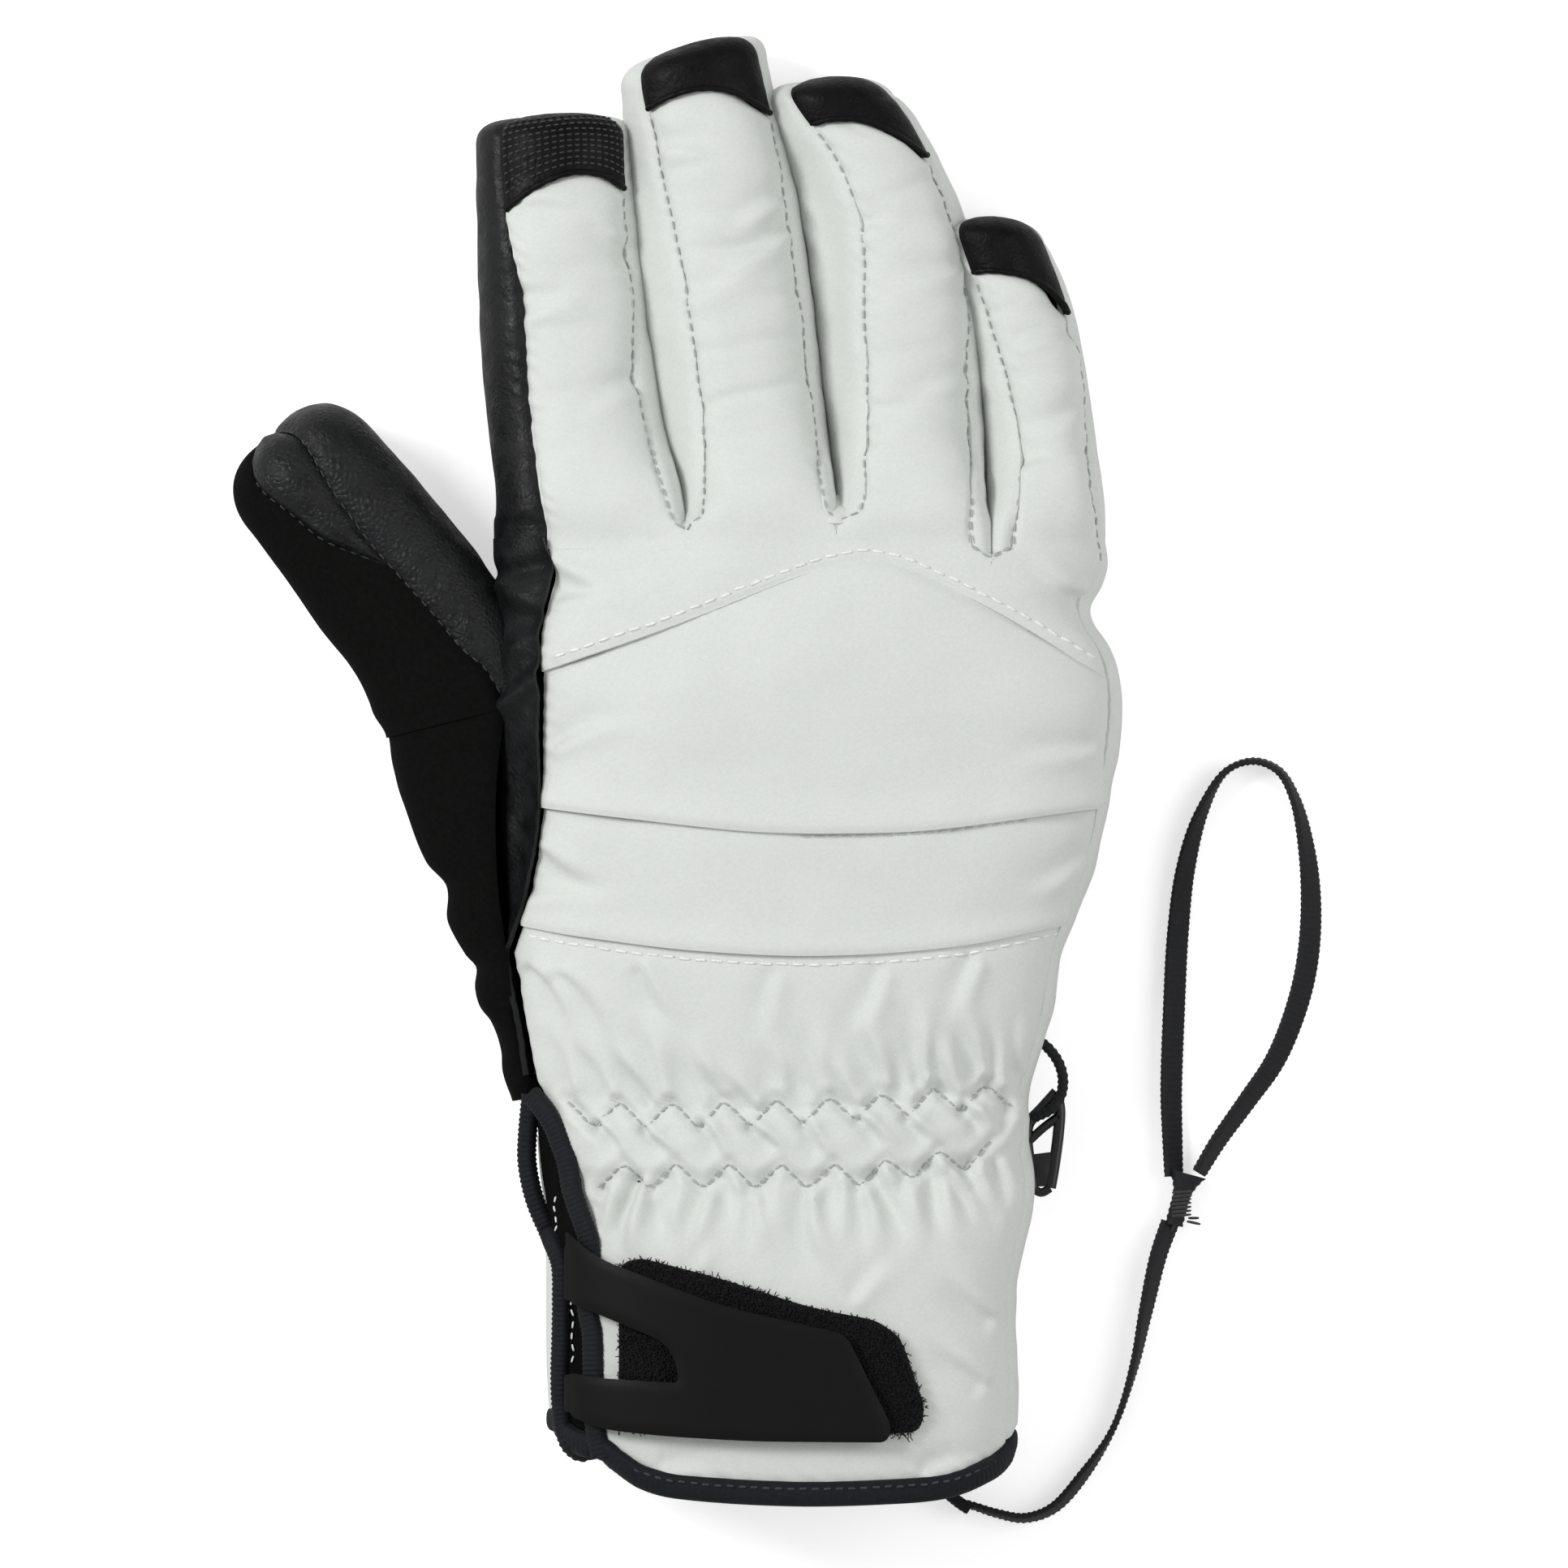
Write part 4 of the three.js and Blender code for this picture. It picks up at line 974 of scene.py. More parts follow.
def make_finger(name, spec, seed):
    digit = Digit(
        spec["rows"], root_box=ROOT_BOX, roundness=FINGER_ROUNDNESS, lead=LEAD,
        spread=[spread_rows(extra, press) for extra, press in spec["spread"]], **spec["tip"],
    )
    left, right = profile(spec["left"]), profile(spec["right"])
    cap_line = profile(spec["cap"])
    length = digit.length
    right_angle = lambda u: digit.angle(right(u), u)
    left_angle = lambda u: digit.angle(left(u), u)

    def finish(panel, part, look, replaces):
        panel.make(f"{name}_{part}", look, None, replaces)
        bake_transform(panel.object)

    # The back of the finger, from the hand to the cap's arched edge.
    columns = 46
    even = np.linspace(0, 1, columns)
    shares = even - 0.08 * np.sin(2 * np.pi * even)
    across = lambda u: right(u) + (left(u) - right(u)) * shares
    start, top = np.full(columns, -1.5), np.full(columns, 0.85 * length)
    for _ in range(12):
        start = 0.5 * start + 0.5 * (root_line(digit.centre(start)[0] + across(start)) - ROOT_Y - SEAM_GAP)
        top = cap_line(across(top))
    stations = along_grid(start, top, int(length / 0.8))
    points = root_onto_hand(digit.surface(stations, digit.angle(across(stations), stations)), stations)
    back = Panel(points, puff=0.7, reach=4.0, roll=0.75, roll_reach=0.9, seams=("end", "left", "right"),
                 pucker=0.14)
    cross_folds(back, stations, length, seed)
    crotch = [c is not None for c in spec["crotches"]]
    free = [CROTCHES[c][1] - ROOT_Y - SEAM_GAP if c is not None else -4.0 for c in spec["crotches"]]
    fade = smoothstep((stations - (free[1] * (1 - shares) + free[0] * shares)[None, :] + 0.5) / 7)
    back.lift = back.lift * fade + fabric_wave(points)
    finish(back, "back_fabric", "shell", [f"{name}_back"])

    # The leather cap, from that edge over the tip.
    rows = 30
    t = np.linspace(0, 1, rows)[:, None]
    stations = top[None, :] + 0.1 + (length - 0.05 - top[None, :]) * np.sin(t * math.pi / 2)
    cap = Panel(digit.surface(stations, digit.angle(across(stations), stations)), puff=0.3, reach=3.0,
                roll=0.4, roll_reach=0.8,
                seams=SIDES, pucker=0.05)
    cap.lift = cap.lift + 0.45
    cap.crease((5, 4, 5), 0.16, seed + 1)
    finish(cap, "cap_leather", "cap_leather", [f"{name}_tip_cap"])

    # The side walls run out to the tip, and the palm side closes the tube.
    tip_rows = digit.tip_start + digit.tip_round * np.sin(np.linspace(0.08, 1, 14) * math.pi / 2) * 0.999
    for k, side in enumerate(SIDES):
        first = free[k] + 0.2 if crotch[k] else -3.0
        u = np.concatenate([np.linspace(first, digit.tip_start, int((digit.tip_start - first) / 0.8)),
                            tip_rows])
        columns = 30
        t = np.linspace(0, 1, columns)[None, :]
        stations = np.repeat(u[:, None], columns, 1)
        if side == "left":
            begin, stop, depth = left_angle(u), np.full_like(u, 217.6), t
        else:
            begin, stop, depth = np.full_like(u, -37.6), right_angle(u), 1 - t
        points = digit.surface(stations, even_angles(digit, u, begin, stop, columns))
        if crotch[k]:
            points = root_onto_hand(points, stations, np.clip(1 - depth * 1.6, 0, 1) ** 1.5)
        else:
            edge = points[:, 0 if side == "left" else -1]
            edge_angle = hand_angle(edge[:, 0], edge[:, 1])[:, None]
            on_hand = edge_angle + ((218.0 if side == "left" else -38.0) - edge_angle) * depth
            join = (1 - smoothstep(stations / ROOT_BLEND))[..., None]
            points = points + (hand_surface(points[..., 1], on_hand) - points) * join
        sink = spec["sink"][k]
        from_seam = np.abs(points[..., 0] - points[:, 0 if side == "left" else -1, 0][:, None])
        points[..., 2] -= sink * smoothstep(from_seam / 7) * np.clip((points[..., 2] - 9) / 14, 0,
                1) * smoothstep(stations / 12)
        wall = Panel(points, puff=0.5, reach=3.5, roll=0.7, roll_reach=0.9, seams=SIDES, pucker=0.14)
        wall.crease((6, 5, 6), 0.2, seed + 5).crease((3, 3, 3), 0.08, seed + 6)
        look = "leather" if (name, side) == ("index", "left") else "shell"
        node = spec["walls"][k]
        finish(wall, f"{node}_wall", look, [f"{name}_{node}"])
    u = np.concatenate([np.linspace(0, digit.tip_start, int(digit.tip_start / 1.2)), tip_rows])
    t = np.linspace(0, 1, 26)[None, :]
    stations = np.repeat(u[:, None], 26, 1)
    palm = Panel(digit.surface(stations, 218 + 104 * t + 0 * stations), puff=0.0, roll=0.5, roll_reach=1.0,
                 seams=SIDES)
    finish(palm, "palm_leather", "leather", [f"{name}_palm"])

    u = np.concatenate([np.linspace(6, digit.tip_start, 40), tip_rows[:-1]])
    t = np.linspace(0, 1, 40)[None, :]
    stations = np.repeat(u[:, None], 40, 1)
    stall = plain_panel(digit.surface(stations, 360 * t + 0 * stations, 4.4))
    stall.crease((5, 7, 5), 0.2, seed + 9)
    finish(stall, "stall_lining", "lining", [f"{name}_liner"])

    finger_trim(name, back, cap, free)


def finger_trim(name, back, cap, free):
    """Seam stitches down both sides of the back, and the rolled edge where the cap is sewn on."""
    for k, column, inward in ((1, 0, 2), (0, -1, -3)):
        if name == "index" and k == 0:  # that side is sewn to the leather, with no stitches showing
            continue
        edge = back.outer[:, column] + back.outer_normal[:, column] * 0.3
        line = edge + (back.outer[:, inward] - back.outer[:, column]) * 0.3
        line = line[line[:, 1] > ROOT_Y + free[k] - 0.4]
        row = stitch_line(f"{name}_{SIDES[k]}_stitches", line[:-2], 2.5, 0.68, 0.17, "grey_thread", None,
                          wobble=0.05)
        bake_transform(row)
    edge = resample(cap.outer[0] - cap.outer_normal[0] * 0.1, step=0.5)
    ripple = 0.6 * (1 + 0.1 * np.cos(np.arange(len(edge)) * 1.1))
    piping = tube(f"{name}_cap_piping", edge[1:-1], ripple[1:-1], ripple[1:-1], 10, "cap_leather", None)
    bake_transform(piping)
    if name == "index":
        points, faces = [], []
        for row in range(3, 22, 2):
            even = resample(cap.outer[row, 2:-2] + cap.outer_normal[row, 2:-2] * 0.12, step=1.5)
            ahead = even[1:] - even[:-1]
            p, f = capsules(even[:-1] + ahead * 0.15, even[1:] - ahead * 0.2, 0.15)
            faces += [tuple(i + len(points) for i in face) for face in f]
            points += p
        rows = add_object("index_cap_quilting", points, faces, "black_thread", None, smooth=0)
        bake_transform(rows)


def make_crotch_webs():
    """The fold of fabric at the bottom of each slit between two fingers."""
    for k, (x, y) in enumerate(CROTCHES):
        across, down = np.linspace(-4.2, 4.2, 25), np.linspace(0, 1, 25)[:, None]
        xs = x + across[None, :] * (1 - 0.25 * down)
        ys = y - 0.9 + 5.5 * down + 0.08 * across[None, :] ** 2
        top = hand_surface(ys, hand_angle(xs, ys))[..., 2]
        zs = top - 1.1 - 9.0 * down**1.6 + 0.5 * np.cos(across[None, :] * 0.9) * (1 - down)
        web = plain_panel(np.stack([xs, ys, zs], -1))
        web.crease((2.5, 3, 3), 0.35, 5.0 + k)
        web.make(f"crotch_web_{k}", "shell", "hand", thickness=0.6)


for order, (finger, spec) in enumerate(FINGERS.items()):
    make_finger(finger, spec, 11.0 + 7 * order)
make_crotch_webs()

# ---- Thumb and thenar ------------------------------------------------------------------------------
thumb_rows = [
    (-54, -63, 6, 16), (-57, -46, 9, 22), (-60, -30, 11, 25), (-63, -14, 13, 27), (-66, 2, 15, 28),
    (-71.5, 21, 15.4, 28), (-83.5, 38.8, 15, 27.5), (-96.5, 54.3, 14.6, 27), (-105.5, 64.5, 14, 26),
]
plain_thumb = Digit(thumb_rows, 13)


def thumb_station(y):
    """How far along the thumb's centre line a height up the hand is."""
    return np.interp(y, plain_thumb.line[:, 1], plain_thumb.along)


scallops = [
    (-63, 1.2), (-57, 1.6), (-52.6, 2.9), (-47, 2.9), (-43.7, 1.8), (-40, 2.0), (-36.4, 3.4), (-33.5, 2.0),
    (-27, 0.9),
    (-22, 2.4), (-19.5, 2.5), (-15, 0.2), (-4, -0.4), (4, -0.2), (9, 0.4), (11.5, 0.5), (16, -0.6),
    (20, -0.6),
    (30, -0.4), (38, -0.9), (47, -0.2), (56, 0.3), (64, 0),
]
thumb = Digit(
    thumb_rows, tip_round=12, tip_power=2.5,
    spread=([(thumb_station(y), -out) for y, out in scallops], None),
)
THUMB_ROOT = float(thumb_station(21.0))
strip_left_x = profile([
    (-62, -53.4), (-55, -56.2), (-48, -58.1), (-41, -59.3), (-35.7, -59.7), (-23.3, -61.4), (-10.9, -61.9),
    (0, -61.5), (10.9, -59.9), (13.3, -59.2),
    (21.8, -59.4), (30, -60.5), (44, -61.5),
])


def offset_at(x_of_y, u):
    """How far to the right of the thumb's centre line a line x(y) in plan passes, at stations u."""
    x, y, fx, fy = thumb.centre(u)
    side = np.zeros_like(u)
    for _ in range(12):
        side = 0.5 * side + 0.5 * (x_of_y(y - fx * side) - x) / fy
    return side


def make_thumb():
    """Grained inner panel and tip patch, softshell outside, leather palm."""
    end = thumb.length
    seam_end = thumb_station(12.0)
    merge = THUMB_ROOT + 21.5  # where the tip patch ends in a point
    inner_line = profile([
        (seam_end - 4, 9.0), (seam_end + 6, 6.6), (THUMB_ROOT, 4.2), (THUMB_ROOT + 9, 2.6), (merge, 1.4),
        (end - 26, 1.2), (end - 14, 2.6), (end - 6, 4.4), (end, 5.5),
    ])
    patch_line = profile([(merge - 1, 1.4), (merge + 5, -2.4), (merge + 12, -6), (end - 14, -7.4),
                          (end - 6, -9.4), (end, -11)])
    tip_rows = thumb.tip_start + thumb.tip_round * np.sin(np.linspace(0.06, 1, 18) * math.pi / 2) * 0.999
    angle = lambda line: lambda u: thumb.angle(line(u), u)
    fixed = lambda value: lambda u: np.full_like(u, value)

    def sheet(name, look, start_at, low, high, columns, replaces, body, end_at=None, puff=0.8, crease=0.45,
              roll=0.8):
        if end_at is None:
            count = max(3, int((thumb.tip_start - start_at) / 0.8))
            rows = np.concatenate([np.linspace(start_at, thumb.tip_start, count), tip_rows])
        else:
            rows = np.linspace(start_at, end_at, int((end_at - start_at) / 0.8))
        t = np.linspace(0, 1, columns)[None, :]
        stations = np.repeat(rows[:, None], columns, 1)
        a, b = low(rows)[:, None], high(rows)[:, None]
        panel = Panel(thumb.surface(stations, a + (b - a) * t), puff=puff, reach=4.5, roll=roll,
                      roll_reach=1.0, seams=SIDES)
        panel.crease((9, 9, 9), crease, 3.0).crease((3.5, 3.5, 3.5), crease * 0.4, 9.0)
        panel.make(name, look, body, replaces)
        if body is None:
            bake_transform(panel.object)
        return panel

    inner = sheet("thumb_inner_panel", "grained_leather", seam_end - 2, fixed(-42),
                  lambda u: angle(inner_line)(u), 44,
                  ["thumb_inner_leather"], None)
    outer_edge = lambda u: np.where(u < merge, angle(inner_line)(u), angle(patch_line)(u))
    sheet("thumb_softshell_panel", "softshell", seam_end - 2, outer_edge, fixed(221.5), 40,
          ["thumb_softshell"], None, crease=0.2)
    patch = sheet("thumb_tip_leather", "grained_leather", merge, angle(inner_line), angle(patch_line), 26,
                  ["thumb_tip_patch"], None,
                  puff=1.1, roll=1.1)
    sheet("thumb_palm_leather", "leather", THUMB_ROOT, fixed(222), fixed(318), 24, ["thumb_palm"], None,
          puff=0.0, crease=0.0)
    edge = lambda u: thumb.angle(np.minimum(offset_at(strip_left_x, u), 19.0), u)
    sheet("thenar_softshell", "softshell", 0.5, edge, fixed(221.5), 46, ["thenar_panel"], "hand",
          end_at=seam_end - 1.6, crease=0.25, roll=0.6, puff=0.3)
    sheet("thenar_palm_leather", "leather", 0.5, fixed(222), fixed(318), 24, ["thenar_palm"], "hand",
          end_at=THUMB_ROOT, puff=0.0, crease=0.0)
    t = np.linspace(0, 1, 40)[None, :]
    rows = np.concatenate([np.linspace(THUMB_ROOT, thumb.tip_start, 40), tip_rows[:-1]])
    stations = np.repeat(rows[:, None], 40, 1)
    stall = plain_panel(thumb.surface(stations, 360 * t + 0 * stations, 3.4))
    stall.crease((6, 6, 6), 0.2, 4.0)
    stall.make("thumb_stall_lining", "lining", None, ["thumb_liner"])
    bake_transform(stall.object)
    for name, line in (("inner", inner.outer[:, -1]), ("patch", patch.outer[:, -1])):
        line = line + [0, 0, 0.25]
        row = stitch_line(f"thumb_{name}_stitches", line[3:-10], 2.4, 0.6, 0.16, "black_thread", None,
                          wobble=0.05)
        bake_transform(row)


make_thumb()

# ---- Hand ------------------------------------------------------------------------------------------
OUTER_SEAM = 13.0
PALM_LEFT = 218.0
PALM_RIGHT = 322.0
WALL_LOW = PALM_RIGHT - 359.6  # the wall overlaps the palm a little
side_seam_x = profile([
    (-62, -53.8), (-55, -56.6), (-48, -58.4), (-40, -59.2), (-36.4, -59.2), (-31, -57.8), (-23.3, -55.8),
    (-7.8, -53.2),
    (7.8, -53.2), (18.6, -53), (26.4, -53), (33, -51.6), (38.8, -50.8), (42, -51.6), (48, -53.4),
])
arch_seam = profile([(-54, 18.6), (-30, 27), (-4, 37.2), (4, 39.6), (10, 40.2), (16, 38.9), (36, 29.4),
                     (55, 18.2)])
upper_pleat = profile([(-53, -7), (-40, -8.6), (-24.8, -10.4), (-12, -11.6), (4, -11.9), (21.7, -11.2),
                       (54.3, -6.7)])
lower_pleat = profile([(-57.4, -29.5), (-45, -31.6), (-24, -34.2), (0, -35.2), (26, -33.4), (48.8, -28.7)])
upper_zigzag = profile([(-50, -65.5), (-20, -65.4), (0, -64.6), (20, -63), (34, -62), (42, -61)])
lower_zigzag = profile([(-47, -77.2), (-20, -77.2), (0, -77.2), (12, -76.4), (20, -75), (32, -73.2),
                        (42, -72)])
hem_line = profile([
    (-50.5, -126.5), (-48.9, -129.2), (-46, -130.9), (-43, -131.4), (-41, -132.4), (-39.4, -133.8),
    (-34.3, -137.1),
    (-27, -138.9), (-5, -140.2), (14, -139.8), (24.2, -138.9), (31.5, -136.4), (35.9, -133.1), (37.5, -128),
])
ELASTIC_INSET = 6.2
ABOVE_HEM = 4.4  # where the gauntlet's panels start over the hem line


def left_seam(y):
    """The x at which the light fabric ends on the index-finger side."""
    return np.maximum(side_seam_x(y), PALM_AXIS_X - 0.99 * hand_left(y))


def left_angle_at(y):
    return hand_angle(left_seam(y), y)


def back_grid(low, high, columns, step, left_x=left_seam):
    """Points of a strip of the hand's back between two seams, each y as a function of x."""
    t = np.linspace(0, 1, columns)
    share = t - 0.06 * np.sin(2 * np.pi * t)

    def place(y):
        right = hand_surface(y, OUTER_SEAM)[..., 0]
        return right + (left_x(y) - right) * share

    start, end = np.full(columns, float(low(0.0))), np.full(columns, float(high(0.0)))
    for _ in range(8):
        start, end = low(place(start)), high(place(end))
    stations = along_grid(start, end, max(6, int(np.max(end - start) / step)))
    return hand_surface(stations, hand_angle(place(stations), stations))


def make_back():
    """The panels over the back of the hand, from the finger roots to the wrist."""
    points = back_grid(arch_seam, lambda x: root_line(x) + 1.8, 150, 0.7)
    upper = Panel(points, puff=0.5, reach=5, roll=0.5, roll_reach=1.0, seams=("left", "right", "start"))
    beyond = points[..., 1] - root_line(points[..., 0])
    upper.lift = upper.lift * smoothstep(-beyond / 5) + fabric_wave(points) - 0.5 * smoothstep(beyond / 1.4)
    upper.make("upper_back_fabric", "shell", "hand", ["upper_back_panel"])

    knuckle = Panel(back_grid(upper_pleat, arch_seam, 150, 0.8), puff=0.6, reach=6, roll=0.8, roll_reach=1.0,
                    seams=("left", "right", "end"))
    fold = knuckle.distance["start"]
    knuckle.lift = knuckle.lift + 1.5 * np.exp(-((fold / 5) ** 2)) - 0.5 * np.exp(-((fold / 0.8) ** 2))
    knuckle.crease((22, 12, 12), 0.7, 4.0).crease((8, 6, 6), 0.2, 8.0)
    knuckle.lift = knuckle.lift + pulls(knuckle.base)
    knuckle.make("knuckle_fabric", "shell", "hand", ["knuckle_panel"])

    tucked = lambda x: upper_pleat(x) + 3.0
    pleat = Panel(back_grid(lower_pleat, tucked, 150, 0.8), puff=0.5, reach=5, roll=0.7, roll_reach=1.0,
                  seams=SIDES)
    pleat.lift = pleat.lift - 0.9 * np.exp(-((pleat.distance["end"] / 4.5) ** 2))
    fold = pleat.distance["start"]
    pleat.lift = pleat.lift + 1.1 * np.exp(-((fold / 4) ** 2)) - 0.4 * np.exp(-((fold / 0.8) ** 2))
    pleat.crease((22, 10, 10), 0.5, 14.0).crease((9, 6, 6), 0.2, 18.0)
    pleat.lift = pleat.lift + pulls(pleat.base)
    pleat.make("pleat_fabric", "shell", "hand", ["pleat_panel"])
    return upper, pleat


upper, pleat = make_back()


def around(y, columns, low, high, inset=0.0):
    """A grid of the hand's surface at heights y, from one angle to another."""
    t = np.linspace(0, 1, columns)[None, :]
    stations = np.repeat(y[:, None], columns, 1)
    low = np.broadcast_to(np.asarray(low, float), y.shape)[:, None]
    high = np.broadcast_to(np.asarray(high, float), y.shape)[:, None]
    return hand_surface(stations, low + (high - low) * t, inset)


def wrist_sink(y, x=0.0):
    """How much the two elastics draw the fabric in."""
    return np.maximum(np.exp(-(((y - upper_zigzag(x)) / 7.0) ** 2)),
                      np.exp(-(((y - lower_zigzag(x)) / 7.0) ** 2)))


def outer_wall(points):
    """The wall on the little finger's side, drawn in by the elastics."""
    wall = Panel(points, puff=0.7, reach=4, roll=0.7, roll_reach=0.9, seams=SIDES)
    wall.crease((6, 8, 7), 0.4, 1.5).crease((3, 4, 3), 0.1, 2.5)
    wall.lift = wall.lift - 1.1 * wrist_sink(wall.base[..., 1], 40.0)
    return wall


def seam_allowance(name, look, y, angle, body):
    """The folded edges under a seam, which close it from below."""
    fold = plain_panel(around(y, 9, angle - 7, angle + 7))
    fold.lift = fold.lift - 1.9 - 1.2 * wrist_sink(fold.base[..., 1], fold.base[..., 0])
    fold.make(name, look, body, thickness=0.6)
    if body is None:
        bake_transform(fold.object)


def make_sides():
    """The leather strip beside the index finger, the light wall beside the little finger, and the palm."""
    y = np.linspace(-58, ROOT_Y + 0.5, 150)
    strip = Panel(around(y, 34, left_angle_at(y), PALM_LEFT - 0.4), puff=0.6, reach=4, roll=0.7,
                  roll_reach=0.9, seams=SIDES)
    strip.crease((6, 7, 6), 0.35, 1.0).crease((3, 3, 3), 0.12, 2.0)
    x, at = strip.base[..., 0], strip.base[..., 1]
    lens = np.exp(-(((at + 11) / 17) ** 4))
    middle = (side_seam_x(at) + strip_left_x(at)) / 2
    strip.lift = strip.lift + 2.2 * lens * np.exp(-(((x - middle) / 3.4) ** 2))
    for place, lean, depth in ((15.5, 0.8, 1.8), (33, -0.5, 1.0), (38.5, 0.2, -1.4), (24, 0.5, 0.8),
                               (29, 0.1, -0.7), (20, 0.9, -0.6)):
        strip.lift = strip.lift - depth * np.exp(-(((at - place - lean * (x - middle)) / 2.0) ** 2))
    strip.make("side_leather_strip", "leather", "hand", ["side_leather"])

    y = np.linspace(WRIST_Y, ROOT_Y - 1.5, 140)
    wall = outer_wall(around(y, 26, WALL_LOW, OUTER_SEAM - 0.1))
    wall.make("outer_side_wall", "shell", None, ["outer_side_panel"])
    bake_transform(wall.object)

    rows = np.linspace(HEM_Y + 9, ROOT_Y - 2, 160)
    seam_allowance("outer_seam_allowance", "shell", rows, OUTER_SEAM, None)
    rows = np.linspace(-60, ROOT_Y - 1, 120)
    seam_allowance("inner_seam_allowance", "leather", rows, left_angle_at(rows), "hand")

    palm = Panel(around(y, 60, PALM_LEFT, PALM_RIGHT), puff=0.0, roll=0.5, roll_reach=1.0, seams=SIDES,
                 pucker=0)
    palm.make("palm_leather_sheet", "leather", None, ["palm_leather"])
    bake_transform(palm.object)


make_sides()


def make_inner_layers():
    """Padding, membrane and lining inside the wall, seen only where the glove opens."""
    for name, look, body, low, high, inset, nodes in (
        ("hand_padding_layer", "lining", "hand", WRIST_Y + 2, ROOT_Y - 1, 3.6, ["back_padding", "membrane"]),
        ("hand_inner_lining", "lining", "hand", WRIST_Y + 1, ROOT_Y - 2, 5.2, ["hand_lining"]),
        ("cuff_inner_lining", "lining", "cuff", HEM_Y + 6, WRIST_Y - 1, 3.8, ["cuff_lining"]),
    ):
        y = np.linspace(low, high, int((high - low) / 1.4))
        points = around(y, 110, 0, 360, inset)
        if body == "cuff":
            start = hem_line(points[0, :, 0]) + 7.0
            y = start + (high - start) * np.linspace(0, 1, len(y))[:, None]
            points = hand_surface(y, np.linspace(0, 360, 110)[None, :] + 0 * y, inset)
        layer = plain_panel(points)
        layer.crease((9, 9, 9), 0.25, inset).crease((3, 3, 3), 0.1, inset + 2)
        layer.make(name, look, body, nodes, thickness=0.9)
    for name, body, centre, nodes in (
        ("elastic_band_upper", "hand", WRIST_Y + 4.5, ["wrist_elastic_upper"]),
        ("elastic_band_lower", "cuff", WRIST_Y - 6, ["wrist_elastic_lower"]),
    ):
        y = np.linspace(centre - 3, centre + 3, 9)
        band = plain_panel(around(y, 160, 0, 360, ELASTIC_INSET))
        band.lift = band.lift + 0.2 * np.sin(band.base[..., 0] * 2.2)
        band.make(name, "tape", body, nodes, thickness=0.8)


make_inner_layers()

# ---- Wrist and gauntlet ----------------------------------------------------------------------------
SLIT_TOP = -62.0
near_slit_x = profile([
    (-136, -39.2), (-130, -40.6), (-125, -41.6), (-116, -42), (-106.8, -42.3), (-102.3, -43.2), (-98, -43),
    (-90.7, -42.7), (-85.5, -44.2), (-80.4, -46), (-74.5, -47.1), (-71, -48.4), (-68.4, -49.4), (-65, -51.4),
    (-62, -53.8),
])
far_slit_x = profile([
    (-130, -47.4), (-128.8, -47.6), (-125, -49), (-117, -49.6), (-108, -49.4), (-100, -49.3), (-94, -49.6),
    (-89, -51.6), (-82.5, -54.4), (-75, -56), (-68, -55.8), (-62, -55.2),
])
ZIGZAG_PITCH = 10.0
ZIGZAG_HALF = 2.55


def zigzag_points(line, start, end, first_up):
    """Corners of a zigzag about a line, peaks and valleys in turn."""
    corners, x, up = [], start, first_up
    while x < end:
        corners.append((x, float(line(x)) + (ZIGZAG_HALF if up else -ZIGZAG_HALF)))
        x += ZIGZAG_PITCH / 2
        up = not up
    return np.array(corners)


zigzags = {
    "upper": zigzag_points(upper_zigzag, -48.2, 40.5, True),
    "lower": zigzag_points(lower_zigzag, -42.3, 37.5, False),
}


def near_polyline(x, y, corners):
    """Distance in plan of each place from a line of corners."""
    best = np.full(np.shape(x), 99.0)
    for (ax, ay), (bx, by) in zip(corners[:-1], corners[1:]):
        t = np.clip(((x - ax) * (bx - ax) + (y - ay) * (by - ay)) / ((bx - ax) ** 2 + (by - ay) ** 2), 0, 1)
        best = np.minimum(best, np.hypot(x - ax - t * (bx - ax), y - ay - t * (by - ay)))
    return best


SIM_SCALE = 0.01  # metres to a millimetre: cloth ten times life size, where the solver is at home


